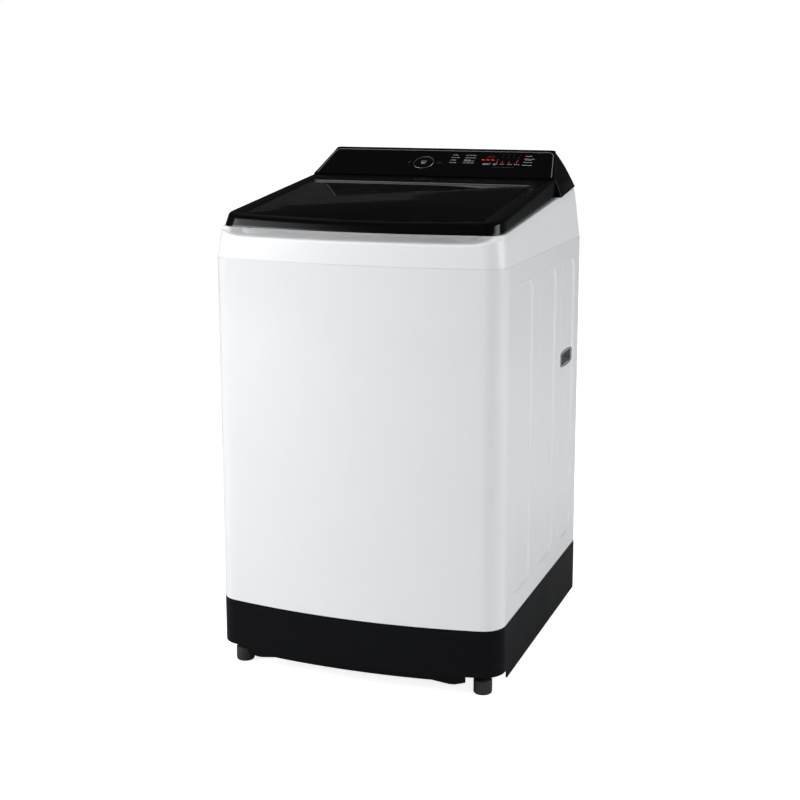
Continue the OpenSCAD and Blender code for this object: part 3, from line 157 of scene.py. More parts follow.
sky_rays = new_node(sky, "ShaderNodeLightPath").outputs
sky_shade = new_node(sky, "ShaderNodeMix", data_type="FLOAT")
sky_light = new_node(sky, "ShaderNodeBackground", Color=(0.93, 0.96, 1.0, 1.0))
sky_white = new_node(sky, "ShaderNodeBackground", Color=(1.0, 1.0, 1.0, 1.0), Strength=1.0)
sky_seen = math_node(sky, "MAXIMUM", sky_rays["Is Camera Ray"], sky_rays["Is Transmission Ray"])
sky_mix = new_node(sky, "ShaderNodeMixShader")
sky_out = new_node(sky, "ShaderNodeOutputWorld")
link(sky, (sky_place.outputs["Generated"], sky_split.inputs[0]),
     (sky_rays["Is Glossy Ray"], sky_shade.inputs["Factor"]),
     (sky_ramp(0.66, 0.3), sky_shade.inputs["A"]),
     (sky_ramp(0.05, 0.02), sky_shade.inputs["B"]),
     (sky_shade.outputs["Result"], sky_light.inputs["Strength"]),
     (sky_seen, sky_mix.inputs["Fac"]),
     (sky_light.outputs[0], sky_mix.inputs[1]),
     (sky_white.outputs[0], sky_mix.inputs[2]),
     (sky_mix.outputs[0], sky_out.inputs["Surface"]))
print("background nodes:", len(sky.nodes))

# %% Floor
floor_glow_level = 0.84
bpy.ops.mesh.primitive_plane_add(size=60, location=(0, 0, 0))
floor = bpy.context.object
floor.name = "floor"
floor_paint = bpy.data.materials.new("floor paint")
tree = empty_tree(floor_paint)
floor_matt = new_node(tree, "ShaderNodeBsdfDiffuse", Color=(0.86, 0.86, 0.86, 1.0))
floor_glow = new_node(tree, "ShaderNodeEmission")
floor_rays = new_node(tree, "ShaderNodeLightPath").outputs
floor_seen = math_node(tree, "MULTIPLY", floor_rays["Is Camera Ray"], floor_glow_level)
floor_sum = new_node(tree, "ShaderNodeAddShader")
floor_out = new_node(tree, "ShaderNodeOutputMaterial")
link(tree, (floor_seen, floor_glow.inputs["Strength"]),
     (floor_matt.outputs[0], floor_sum.inputs[0]),
     (floor_glow.outputs[0], floor_sum.inputs[1]),
     (floor_sum.outputs[0], floor_out.inputs["Surface"]))
floor.data.materials.append(floor_paint)
print("floor:", [round(v, 1) for v in floor.dimensions])


# %% Soft boxes
def soft_box(name, place, aim, width, height, watts, in_gloss=True, in_matt=True):
    """A rectangular lamp at place, turned to face aim; gloss or matt surfaces may leave it out."""
    lamp = bpy.data.lights.new(name, "AREA")
    lamp.shape = "RECTANGLE"
    lamp.size, lamp.size_y = width, height
    lamp.energy = watts
    holder = bpy.data.objects.new(name, lamp)
    scene.collection.objects.link(holder)
    holder.location = place
    holder.rotation_euler = (Vector(aim) - Vector(place)).to_track_quat("-Z", "Y").to_euler()
    holder.visible_glossy = in_gloss
    holder.visible_diffuse = in_matt


soft_box("main_box", (-3.6, -3.0, 2.3), (0, 0, 0.5), 2.6, 2.6, 150)
soft_box("side_box", (4.2, 0.4, 1.8), (0, 0, 0.5), 2.4, 2.4, 76)
soft_box("top_box", (-0.4, -1.2, 3.4), (0, 0, 0.9), 2.0, 1.4, 30, in_gloss=False)
soft_box("lid_card", (-2.1, -2.6, 2.9), (0, -0.3, 0.93), 1.8, 0.9, 6, in_matt=False)

# %% [markdown]
# ## Finishes
# No real surface is one flat colour. Moulded plastic has a fine grain, enamel a faint orange peel,
# drawn metal carries hair lines, and all of them are a little uneven in gloss. Each effect is a node
# group with named inputs, and every material places the group with its own values.

# %% A group of nodes and its sockets
def effect_group(name, inputs):
    """A new group with float, colour or vector inputs; gives it with its values and its results."""
    group = bpy.data.node_groups.new(name, "ShaderNodeTree")
    kinds = {"f": "NodeSocketFloat", "c": "NodeSocketColor", "v": "NodeSocketVector"}
    for label, kind, value in inputs:
        socket = group.interface.new_socket(name=label, in_out="INPUT", socket_type=kinds[kind])
        socket.default_value = value
    for label, kind in (("Colour", "c"), ("Roughness", "f"), ("Normal", "v")):
        group.interface.new_socket(name=label, in_out="OUTPUT", socket_type=kinds[kind])
    return group, group.nodes.new("NodeGroupInput").outputs, group.nodes.new("NodeGroupOutput").inputs


def end_effect(group, values, results, height, step, rough, tone):
    """What both effects share: a bump, the roughness and the toned colour go to the group's results."""
    bump = new_node(group, "ShaderNodeBump", Distance=step)
    shade = new_node(group, "ShaderNodeMixRGB", blend_type="MULTIPLY", Fac=1.0)
    link(group, (values["Depth"], bump.inputs["Strength"]), (height, bump.inputs["Height"]),
         (bump.outputs["Normal"], results["Normal"]), (rough, results["Roughness"]),
         (values["Colour"], shade.inputs[1]), (tone, shade.inputs[2]),
         (shade.outputs[0], results["Colour"]))


# %% Uneven surface
def uneven_group():
    """Fine grain for the touch, broad patches for the gloss, and a slight shift of the colour."""
    group, values, results = effect_group(
        "uneven surface",
        [("Colour", "c", (0.5, 0.5, 0.5, 1)), ("Darker", "f", 0.04), ("Roughness", "f", 0.4),
         ("Spread", "f", 0.05), ("Grain per metre", "f", 900.0), ("Depth", "f", 0.1),
         ("Patches per metre", "f", 6.0)])
    place = new_node(group, "ShaderNodeTexCoord").outputs["Object"]
    grain = new_node(group, "ShaderNodeTexNoise", Detail=2.0, Roughness=0.55)
    patches = new_node(group, "ShaderNodeTexNoise", Detail=4.0, Roughness=0.6)
    dark = new_node(group, "ShaderNodeMapRange", To_Min=1.0, To_Max=0.0)
    shift = patches.outputs["Fac"]
    weight = math_node(group, "MULTIPLY", shift, values["Darker"])
    link(group, (place, grain.inputs["Vector"]), (place, patches.inputs["Vector"]),
         (values["Grain per metre"], grain.inputs["Scale"]),
         (values["Patches per metre"], patches.inputs["Scale"]), (weight, dark.inputs["Value"]))
    spread = math_node(group, "MULTIPLY", math_node(group, "SUBTRACT", shift, 0.5), values["Spread"])
    rough = math_node(group, "ADD", values["Roughness"], math_node(group, "MULTIPLY", spread, 4.0))
    end_effect(group, values, results, grain.outputs["Fac"], 0.0004, rough, dark.outputs["Result"])
    return group


# %% Hair lines
def brushed_group():
    """Drawn or brushed metal: noise stretched along one direction roughens and tilts the light."""
    group, values, results = effect_group(
        "hair lines",
        [("Colour", "c", (0.6, 0.6, 0.6, 1)), ("Roughness", "f", 0.3), ("Spread", "f", 0.1),
         ("Along", "v", (8.0, 600.0, 600.0)), ("Depth", "f", 0.1)])
    place = new_node(group, "ShaderNodeTexCoord").outputs["Object"]
    stretch = new_node(group, "ShaderNodeVectorMath", operation="MULTIPLY")
    lines = new_node(group, "ShaderNodeTexNoise", Scale=1.0, Detail=3.0, Roughness=0.6)
    clouds = new_node(group, "ShaderNodeTexNoise", Scale=9.0, Detail=3.0)
    tone = new_node(group, "ShaderNodeMapRange", To_Min=0.86, To_Max=1.08)
    link(group, (place, stretch.inputs[0]), (values["Along"], stretch.inputs[1]),
         (stretch.outputs[0], lines.inputs["Vector"]), (place, clouds.inputs["Vector"]),
         (clouds.outputs["Fac"], tone.inputs["Value"]))
    both = math_node(group, "ADD", lines.outputs["Fac"], clouds.outputs["Fac"])
    spread = math_node(group, "MULTIPLY", math_node(group, "SUBTRACT", both, 1.0), values["Spread"])
    rough = math_node(group, "ADD", values["Roughness"], spread)
    end_effect(group, values, results, lines.outputs["Fac"], 0.0003, rough, tone.outputs["Result"])
    return group


uneven, hair_lines = uneven_group(), brushed_group()
print("effects:", uneven.name, "and", hair_lines.name)


# %% Materials from the effects
def finish(name, group, effect, **shader_values):
    """A Principled material that takes its colour and roughness from an effect, and its bump if any."""
    made = bpy.data.materials.new(name)
    made.use_nodes = True
    shader = made.node_tree.nodes["Principled BSDF"]
    for key, value in shader_values.items():
        shader.inputs[key.replace("_", " ")].default_value = value
    skin = new_node(made.node_tree, "ShaderNodeGroup", node_tree=group)
    for key, value in effect.items():
        skin.inputs[key].default_value = value
    targets = {"Colour": "Base Color", "Roughness": "Roughness", "Normal": "Normal"}
    if effect.get("Depth") == 0:
        del targets["Normal"]
    for result, target in targets.items():
        link(made.node_tree, (skin.outputs[result], shader.inputs[target]))
    return made


def full_colour(grey):
    """A brightness or a colour, as a colour with its fourth value."""
    return (*grey, 1) if isinstance(grey, tuple) else (grey, grey, grey, 1)


def plastic(name, grey, rough, grain=900.0, depth=0.08, spread=0.03, **shader_values):
    """Moulded plastic or rubber."""
    effect = {"Colour": full_colour(grey), "Roughness": rough, "Spread": spread,
              "Grain per metre": grain, "Depth": depth}
    return finish(name, uneven, effect, **shader_values)


def metal(name, grey, rough, along=(8.0, 600.0, 600.0), depth=0.12, spread=0.1, metallic=1.0):
    """Bare metal with hair lines; along says how tightly they lie in x, y and z."""
    effect = {"Colour": full_colour(grey), "Roughness": rough, "Spread": spread, "Along": along,
              "Depth": depth}
    return finish(name, hair_lines, effect, Metallic=metallic)


# %% [markdown]
# The list reads like a paint chart: a brightness or a colour, then a roughness. White parts are never
# pure white, and black ones differ mostly in gloss. The roughness of a part spreads only a little,
# because broad patches of different gloss would look like stains.

# %% The machine's finishes
finishes = {
    "white_enamel": plastic("white enamel", (0.82, 0.825, 0.83), 0.2, grain=260.0, depth=0.02,
                            spread=0.015, Coat_Weight=0.35, Coat_Roughness=0.08),
    "zinc_steel": metal("galvanised steel", (0.62, 0.64, 0.66), 0.42, along=(60.0, 60.0, 90.0),
                        depth=0.05),
    "dark_plastic": plastic("dark plastic", (0.0068, 0.0071, 0.008), 0.42, grain=1400.0, depth=0.12,
                            Specular_IOR_Level=0.02),
    "foot_rubber": plastic("foot rubber", 0.018, 0.62, grain=700.0, depth=0.2),
    "plain_steel": metal("zinc plated steel", 0.6, 0.36, spread=0.06),
    "white_plastic": plastic("white plastic", (0.82, 0.825, 0.83), 0.34, grain=500.0, depth=0.03,
                             spread=0.02),
    "gloss_black": plastic("piano black", (0.0022, 0.0022, 0.0024), 0.16, grain=300.0, depth=0.01,
                           spread=0.012, Specular_IOR_Level=0.3),
    "panel_black": plastic("panel black", (0.0022, 0.0023, 0.0026), 0.14, grain=300.0, depth=0.006,
                           spread=0.012, Specular_IOR_Level=0.3),
    "dark_trim": plastic("dark trim", 0.16, 0.34, grain=600.0, depth=0.02, spread=0.015),
    "bright_ring": metal("satin chrome", 0.72, 0.42, along=(300.0, 300.0, 300.0), depth=0.03),
    "board": plastic("circuit board", (0.02, 0.12, 0.05), 0.35, grain=500.0),
    "grip_grey": plastic("grip grey", (0.24, 0.245, 0.25), 0.42, grain=1200.0, depth=0.12),
    "bumper_rubber": plastic("bumper rubber", 0.72, 0.5, grain=900.0),
    "drawer_grey": plastic("drawer grey", (0.28, 0.285, 0.3), 0.36, grain=700.0),
    "blue_plastic": plastic("blue plastic", (0.05, 0.16, 0.42), 0.36),
    "natural_plastic": plastic("natural plastic", (0.64, 0.65, 0.64), 0.45, grain=900.0, depth=0.12),
    "spring_steel": metal("spring steel", 0.28, 0.35),
    "bellows_rubber": plastic("bellows rubber", 0.02, 0.55, grain=600.0, depth=0.2),
    "tub_plastic": plastic("tub plastic", (0.55, 0.6, 0.63), 0.42, grain=700.0, depth=0.14),
    "cast_alloy": metal("cast alloy", 0.5, 0.5, along=(300.0, 300.0, 300.0), depth=0.3),
    "bearing_steel": metal("bearing steel", 0.6, 0.2),
    "copper_windings": metal("copper windings", (0.6, 0.27, 0.12), 0.35, along=(700.0, 700.0, 90.0),
                             depth=0.5),
    "stainless": metal("stainless steel", (0.66, 0.67, 0.69), 0.34, along=(260.0, 260.0, 6.0),
                       depth=0.05, spread=0.05, metallic=0.6),
    "rotor_steel": metal("rotor steel", 0.34, 0.35),
    "tinted_glass": finish("tinted glass", uneven, {"Colour": (0.05, 0.05, 0.053, 1), "Roughness": 0.02,
                                                    "Spread": 0.012, "Depth": 0.0, "Darker": 0.02},
                           Transmission_Weight=1.0, IOR=1.45, Specular_IOR_Level=0.14),
}
slot_of = {part["node"]: part["material_slot"] for part in frame["record"]["subparts"]}
for name, part in nodes.items():
    part.data.materials.clear()
    part.data.materials.append(finishes[slot_of[name]])
print("finishes:", len(finishes))

# %% [markdown]
# ## Shapes seen from above
# Cabinet, cover, lid and base share one plan: straight sides, a front that bows out and round corners.
# If every shell draws that plan with the same number of points, a shell is just a stack of rings:
# the first ring is drawn, and each next ring is extruded from the last and laid on its own points.

# %% The shared plan
cabinet_low, cabinet_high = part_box("cabinet_shell")
half_w = cabinet_high.x
front_y, back_y = cabinet_low.y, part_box("top_cover")[1].y
base_top, seam = cabinet_low.z, cabinet_high.z
front_bow = 34.3 * mm
corner_r = 48 * mm
bow_r = (half_w ** 2 + front_bow ** 2) / (2 * front_bow)
corner_steps, bow_steps, side_steps, back_steps = 10, 32, 20, 16


def arc(centre, radius, start, end, steps):
    """Points on an arc; the angles are in degrees."""
    turns = [math.radians(start + (end - start) * i / steps) for i in range(steps + 1)]
    return [Vector((centre[0] + radius * math.cos(t), centre[1] + radius * math.sin(t))) for t in turns]


def between(a, b, steps):
    """The points that divide the line from a to b, without its ends."""
    return [a.lerp(b, i / steps) for i in range(1, steps)]


def plan(half, front, back, front_r, back_r, bow=bow_r):
    """The plan's points, anticlockwise from the left front corner to the left side."""
    centre_y = front + bow
    x = half - front_r
    y = centre_y - math.sqrt((bow - front_r) ** 2 - x ** 2)
    turn = math.degrees(math.atan2(y - centre_y, x))
    left = arc((-x, y), front_r, 180, 180 - turn, corner_steps)
    right = arc((x, y), front_r, 360 + turn, 360, corner_steps)
    front_line = arc((0, centre_y), bow, 180 - turn, 360 + turn, bow_steps)[1:-1]
    right_back = arc((half - back_r, back - back_r), back_r, 0, 90, corner_steps)
    left_back = arc((back_r - half, back - back_r), back_r, 90, 180, corner_steps)
    return (left + front_line + right + between(right[-1], right_back[0], side_steps)
            + right_back + between(right_back[-1], left_back[0], back_steps)
            + left_back + between(left_back[-1], left[0], side_steps))


print("plan points:", len(plan(half_w, front_y, back_y, corner_r, corner_r)))


# %% Rings into a shell
def sweep(bm, rings, closed=True):
    """Draws the first ring and extrudes a band to each next one; returns the last ring's edges."""
    row = [bm.verts.new(p) for p in rings[0]]
    pairs = zip(row, row[1:] + row[:1] if closed else row[1:])
    edges = [bm.edges.new(pair) for pair in pairs]
    for ring in rings[1:]:
        made = bmesh.ops.extrude_edge_only(bm, edges=edges)["geom"]
        place_of = {vert: i for i, vert in enumerate(row)}
        fresh = [None] * len(row)
        for vert in (g for g in made if isinstance(g, bmesh.types.BMVert)):
            old = next(e.other_vert(vert) for e in vert.link_edges if e.other_vert(vert) in place_of)
            fresh[place_of[old]] = vert
        for vert, point in zip(fresh, ring):
            vert.co = point
        row = fresh
        ends = set(row)
        edges = [g for g in made if isinstance(g, bmesh.types.BMEdge) and ends.issuperset(g.verts)]
    return edges


def cap(bm, edges):
    """Closes a flat ring of edges with one face."""
    return bmesh.ops.contextual_create(bm, geom=edges)["faces"]


def closed_sweep(rings):
    """A new bmesh swept through the rings, with both ends closed."""
    bm = bmesh.new()
    cap(bm, sweep(bm, rings))
    cap(bm, [e for e in bm.edges if e.is_boundary])
    return bm


# %% From a bmesh to a piece
weld = 0.01 * mm


def smooth(mesh, sharp):
    """Shades a mesh smooth, apart from edges steeper than sharp, in degrees."""
    for face in mesh.polygons:
        face.use_smooth = True
    mesh.set_sharp_from_angle(angle=math.radians(sharp))


def piece(name, bm, body, slot, replaced=(), sharp=32, look=None, wall=0.0, soften=0.0, even=False):
    """Turns a bmesh into a smooth piece with its slot's finish, on a body unless that is None.

    The mesh is welded and faces outwards, unless it is a patch with a look of its own. Wall thickens
    a sheet inwards, soften rounds hard edges, and even shades large faces flat."""
    if not look:
        bmesh.ops.remove_doubles(bm, verts=bm.verts, dist=weld)
        bmesh.ops.recalc_face_normals(bm, faces=bm.faces)
    mesh = bpy.data.meshes.new(name)
    bm.to_mesh(mesh)
    bm.free()
    smooth(mesh, sharp)
    made = bpy.data.objects.new(name, mesh)
    scene.collection.objects.link(made)
    mesh.materials.append(look or finishes[slot])
    if wall:
        thick = made.modifiers.new("wall", "SOLIDIFY")
        thick.thickness, thick.offset = wall, -1
    if soften:
        round_over = made.modifiers.new("soft edges", "BEVEL")
        round_over.width, round_over.segments = soften, 3
        round_over.limit_method, round_over.angle_limit = "ANGLE", math.radians(40)
        round_over.harden_normals = True
    if even:
        weighted = made.modifiers.new("even shading", "WEIGHTED_NORMAL")
        weighted.keep_sharp = True
    if body:
        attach(made, body)
    if replaced:
        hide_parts(*replaced)
    return made


def report(*pieces):
    """Prints how many faces each piece has, before its modifiers."""
    for made in pieces:
        print(made.name, "faces:", len(made.data.polygons))


def lift(points, z):
    """Plan points raised to a height, or to a height that a function gives for each y."""
    return [Vector((p.x, p.y, z(p.y) if callable(z) else z)) for p in points]


# %% [markdown]
# ## The cabinet
# The cabinet is one painted sheet folded round the front. Its edges are rolled in at the seams, and
# each side has three long pressed panels that keep the big flat sheet from drumming. The front and
# corners are a swept strip; a side is one flat face with holes filled by the pressings.

# %% Front and corners of the cabinet
sheet_t, edge_roll, flange = 0.9 * mm, 0.8 * mm, 6 * mm
fold_r, fold_reach = 3 * mm, 24 * mm
press_depth, press_border, press_r = 3.5 * mm, 7 * mm, 36 * mm
press_low, press_high = 183 * mm, 818.5 * mm
press_ends = [(-218.5 * mm, -78.5 * mm), (-30.5 * mm, 109.5 * mm), (151.5 * mm, 277.5 * mm)]
grip_low, grip_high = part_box("side_grip_right")
grip_mid = (grip_low + grip_high) / 2
grip_hole = Vector((44 * mm, 13 * mm))


def rounded_rectangle(low, high, radius):
    """Corner points of a rounded rectangle, anticlockwise."""
    corners = [((high[0] - radius, high[1] - radius), 0), ((low[0] + radius, high[1] - radius), 90),
               ((low[0] + radius, low[1] + radius), 180), ((high[0] - radius, low[1] + radius), 270)]
    return [p for centre, turn in corners for p in arc(centre, radius, turn, turn + 90, 8)]


def wire(bm, points):
    """A closed loop of edges through the points."""
    row = [bm.verts.new(p) for p in points]
    return [bm.edges.new(pair) for pair in zip(row, row[1:] + row[:1])]


def cabinet_strip(bm):
    """The bowed front and its two corners, with both long edges rolled in; gives its last column."""
    part = 0.3 * edge_roll
    steps = [(base_top, flange), (base_top, edge_roll), (base_top + part, part),
             (base_top + edge_roll, 0), (seam - edge_roll, 0), (seam - part, part), (seam, edge_roll),
             (seam, flange)]
    rings = []
    for z, inset in steps:
        around = plan(half_w - inset, front_y + inset, back_y, corner_r - inset, 5 * mm)
        rings.append(lift(around[:2 * corner_steps + bow_steps + 1], z))
    sweep(bm, rings, closed=False)
    return [ring[-1] for ring in rings]


def pressed_panel(bm, low, high):
    """A pressing: its face is set in step by step along an S-shaped border."""
    edges = wire(bm, [(half_w, p.x, p.y) for p in rounded_rectangle(low, high, press_r)])
    face = cap(bm, edges)[0]
    if face.normal.x < 0:
        face.normal_flip()
    steps = 6
    ease = [(1 - math.cos(math.pi * i / steps)) / 2 for i in range(steps + 1)]
    for i in range(steps):
        sink = press_depth * (ease[i] - ease[i + 1])
        bmesh.ops.inset_individual(bm, faces=[face], thickness=press_border / steps, depth=sink)
    return edges, face


def cabinet_side(bm, corner):
    """The right side sheet: its rolled edges, pressings, grip opening and the fold at the back."""
    low, high = base_top + edge_roll, seam - edge_roll
    corner_y, fold_y = corner[3].y, back_y - fold_r
    for column in (corner[:4], corner[4:]):
        sweep(bm, [column, [Vector((p.x, fold_y, p.z)) for p in column]], closed=False)
    rim = wire(bm, [(half_w, y, z) for y, z in ((corner_y, low), (fold_y, low), (fold_y, high),
                                                (corner_y, high))])
    holes = []
    for ends in press_ends:
        edges, face = pressed_panel(bm, (ends[0], press_low), (ends[1], press_high))
        holes += edges
    # The grip sits in the rearmost pressing, which is the last one made.
    open_rim = list(face.edges)
    bmesh.ops.delete(bm, geom=[face], context="FACES_ONLY")
    middle = grip_mid.yz
    hole = [(half_w - press_depth, p.x, p.y) for p in
            rounded_rectangle(middle - grip_hole, middle + grip_hole, 8 * mm)]
    bmesh.ops.triangle_fill(bm, edges=open_rim + wire(bm, hole), use_beauty=True)
    bmesh.ops.triangle_fill(bm, edges=rim + holes, use_beauty=True)
    fold = [Vector((half_w, fold_y))] + arc((half_w - fold_r, fold_y), fold_r - 1 * mm, 0, 90, 5)[1:]
    fold.append(Vector((half_w - fold_reach, fold[-1].y)))
    sweep(bm, [[Vector((p.x, p.y, z)) for z in (low, high)] for p in fold], closed=False)


def cabinet():
    """The whole sheet: the strip, and the right side with its mirror image."""
    bm = bmesh.new()
    corner = cabinet_strip(bm)
    side = bmesh.new()
    cabinet_side(side, corner)
    bmesh.ops.remove_doubles(side, verts=side.verts, dist=weld)
    bmesh.ops.recalc_face_normals(side, faces=side.faces)
    bmesh.ops.mirror(side, geom=side.verts[:] + side.edges[:] + side.faces[:], axis="X", merge_dist=0)
    loose = bpy.data.meshes.new("sides")
    side.to_mesh(loose)
    side.free()
    bm.from_mesh(loose)
    bpy.data.meshes.remove(loose)
    return piece("cabinet_sheet", bm, "cabinet", "white_enamel", ["cabinet_shell"], wall=sheet_t,
                 even=True)


report(cabinet())

# %% [markdown]
# ## The top cover
# The cover is a moulded ring between the cabinet and the lid. Its sides lean in, its rim rises towards
# the back, a shallow band under the lid is set back a little, and the front is scooped out so that
# fingers reach under the lid. Inside is the well with the drum's mouth in its floor.

# %% Cover sizes
rim_z, rim_rake = 918 * mm, math.radians(4.8)
rim_bend = front_y + 79 * mm
lean = math.tan(math.radians(7.3))
lean_span = 135.5 * mm
well_half, well_front, well_back = 265 * mm, front_y + 50 * mm, 168 * mm
well_floor, well_r = 876 * mm, 42 * mm
drum_y = (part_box("drum_shell")[0].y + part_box("drum_shell")[1].y) / 2
mouth_r = 225 * mm
scoop_end, scoop_start = 303 * mm, 238 * mm
cover_t, drawer_gap = 1.2 * mm, Vector((1.2 * mm, 0, 1.2 * mm))
well_bow_r = 40.0


def rim_height(y):
    """Height of the cover's rim: level in front, then rising, with a soft bend between."""
    rise = (y - rim_bend) * math.tan(rim_rake)
    return rim_z + (rise + math.hypot(rise, 2 * mm)) / 2


def cover_ring(height, inset=0.0, scoop=0.0):
    """A ring of the cover's leaning wall; height is a number, or a function of y and scoop share."""
    foot = plan(half_w - inset, front_y + inset, back_y - inset, corner_r - inset, 6 * mm)
    top = plan(half_w - lean_span * lean - inset, front_y + lean_span * lean + inset, back_y - inset,
               corner_r - inset, 6 * mm)
    ring = []
    for low, high in zip(foot, top):
        point, z = low, seam
        for _ in range(3):
            share = min(1, max(0, (scoop_end - abs(point.x)) / (scoop_end - scoop_start)))
            share = share * share * (3 - 2 * share) if point.y < 0 else 0
            z = height(point.y, share) if callable(height) else height
            point = low.lerp(high, (z - seam) / lean_span)
        centre = Vector((0, front_y + bow_r))
        inward = (centre - point).normalized() * scoop * share
        ring.append(Vector((point.x + inward.x, point.y + inward.y, z)))
    return ring


def cut_window(bm, low, high):
    """Cuts a rectangular opening between two corners into a flat wall that faces along y."""
    flat = lambda face: all(abs(v.co.y - low.y) < 0.05 * mm for v in face.verts)
    for way in (Vector((1, 0, 0)), Vector((0, 0, 1))):
        for corner in (low, high):
            wall = [f for f in bm.faces if flat(f)]
            edges, verts = {e for f in wall for e in f.edges}, {v for f in wall for v in f.verts}
            bmesh.ops.bisect_plane(bm, geom=[*wall, *edges, *verts], plane_co=corner, plane_no=way)
    middles = [(f, f.calc_center_median()) for f in bm.faces if flat(f)]
    inside = [f for f, m in middles if low.x < m.x < high.x and low.z < m.z < high.z]
    bmesh.ops.delete(bm, geom=inside, context="FACES")


def well_plan(grow):
    """The well's outline, larger or smaller all round; its front is almost straight."""
    return plan(well_half + grow, well_front - grow, well_back + grow, well_r + grow, well_r + grow,
                bow=well_bow_r)


print("rim height, front and back:", [round(rim_height(y), 4) for y in (front_y, back_y)])


# %% The cover from its seam to the drum's mouth
def top_cover():
    """Rings from the seam up the wall, over the rim, down into the well and round the mouth."""
    bm = bmesh.new()
    rings = [cover_ring(seam + rise * mm, inset * mm) for rise, inset in
             ((0.1, 6), (0.1, 0.7), (0.25, 0.2), (0.7, 0))]
    wall = [(21.5, 0, 0), (19.5, 0.5, 0), (17.6, 0.55, 0.5), (16.6, 0.6, 1.5), (16, 0.65, 3.2),
            (15.5, 0.7, 8), (14.6, 0.8, 16), (13, 0.9, 22), (10.4, 1, 26), (7, 1.2, 27.5),
            (4.4, 1.5, 26), (2.6, 1.9, 22.5), (1.1, 2.3, 20.4), (0.3, 2.9, 19.8), (0, 4.2, 20)]
    for drop, inset, scoop in wall:
        level = lambda y, share, d=drop: rim_height(y) - d * mm * (0.4 + 0.6 * share)
        rings.append(cover_ring(level, inset * mm, scoop * mm))
    for drop, grow in ((0, 3), (0.8, 1), (3, 0)):
        rings.append(lift(well_plan(grow * mm), lambda y, d=drop: rim_height(y) - d * mm))
    for rise, inset in ((8, 0), (2.5, 2), (0, 8)):
        rings.append(lift(well_plan(-inset * mm), well_floor + rise * mm))
    last = rings[-1]
    for drop, inset in ((0, 0), (0.6, 1.2), (3, 2.2), (13.5, 2.6)):
        ring = []
        for p in last:
            turn = math.atan2(p.y - drum_y, p.x)
            radius = mouth_r - inset * mm
            y = min(drum_y + radius * math.sin(turn), well_back - 8 * mm - inset * mm)
            ring.append(Vector((radius * math.cos(turn), y, well_floor - drop * mm)))
        rings.append(ring)
    sweep(bm, rings)
    low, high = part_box("detergent_drawer")
    low, high = low - drawer_gap, high + drawer_gap
    cut_window(bm, Vector((low.x, well_back, low.z)), Vector((high.x, well_back, high.z)))
    return piece("cover_moulding", bm, "cabinet", "white_plastic", ["top_cover"], wall=cover_t,
                 even=True)


report(top_cover())

# %% [markdown]
# ## The lid
# A black moulded frame with leaning walls holds a pane of dark glass. Its upper edge is well rounded,
# because that is where the light draws one long bright line, and its rear band stands behind the pane.

# %% Lid sizes
lid_rake = math.tan(math.radians(6.7))
lid_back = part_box("lid_frame")[1].y
lid_foot, lid_top = 913 * mm, 934.5 * mm
lid_gap, lid_span = 1 * mm, 115 * mm
lid_side, lid_front = 13 * mm, 10 * mm
side_lean, front_lean = 0.15, 0.5
hinge_y, heel_r = lid_back - 13 * mm, 18.8 * mm
glass_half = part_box("lid_glass")[1].x + 0.3 * mm
glass_front, glass_back, glass_r = front_y + 52 * mm, lid_back - 74 * mm, 16 * mm


def lid_height(y):
    """Height of the lid's top face."""
    return lid_top + (y - front_y) * lid_rake


def below(drop):
    """A function that gives heights some millimetres below the lid's top face."""
    return lambda y: lid_height(y) - drop * mm


hinge_z = lid_height(hinge_y) - 11.5 * mm
print("hinge line at:", [round(v, 4) for v in (hinge_y, hinge_z)])


# %% Rings of the lid
def lid_plan(inset, rise):
    """The lid's outline at a height above its foot, where it leans in."""
    half = half_w - lid_side - side_lean * rise - inset
    front = front_y + lid_front + front_lean * rise + inset
    return plan(half, front, lid_back - inset, corner_r - inset, 4 * mm)


def lid_ring(height, inset=0.0):
    """A ring of the lid's leaning wall, round the heel behind the hinge; height depends on y."""
    ring = []
    for low, high in zip(lid_plan(inset, 0), lid_plan(inset, lid_span)):
        point = low
        for _ in range(3):
            z = height(point.y)
            point = low.lerp(high, (z - lid_foot) / lid_span)
        behind = max(0, point.y - hinge_y) / (lid_back - hinge_y)
        reach = math.sqrt(max(0, heel_r ** 2 - (z - hinge_z) ** 2))
        y = point.y if behind == 0 else hinge_y + behind * max(reach, 2 * mm)
        ring.append(Vector((point.x, y, z)))
    return ring


def glass_rings(steps):
    """Rings of the pane's outline, bowed along the lid's front, for pairs of inset and drop."""
    rings = []
    for inset, drop in steps:
        in_by = inset * mm
        radius = glass_r - min(in_by, glass_r / 2)
        around = plan(glass_half - in_by, glass_front + in_by, glass_back - in_by, radius, radius)
        rings.append(lift(around, below(drop)))
    return rings


# %% Frame and pane
def lid_frame():
    """The frame: up its wall, round the edge, across the top and down into the pane's seat."""
    bm = bmesh.new()
    bottom = lambda rise: lambda y: rim_height(y) + lid_gap + rise * mm
    rings = [lid_ring(bottom(rise), inset * mm) for rise, inset in
             ((0, 3), (0, 0.9), (0.3, 0.3), (1, 0))]
    edge_r, edge_steps = 4.5, 6
    for share in (0.15, 0.3, 0.45, 0.6, 0.75, 0.9):
        rings.append(lid_ring(lambda y, s=share: (1 - s) * bottom(1)(y) + s * below(edge_r)(y)))
    for i in range(edge_steps + 1):
        turn = math.radians(90 * i / edge_steps)
        rings.append(lid_ring(below(edge_r * (1 - math.sin(turn))), edge_r * (1 - math.cos(turn)) * mm))
    sweep(bm, rings + glass_rings([(-2.2, 0), (-0.6, 0.5), (-0.1, 1.4), (0, 4), (9, 4), (9, 7)]))
    return piece("lid_moulding", bm, "lid", "gloss_black", ["lid_frame"])


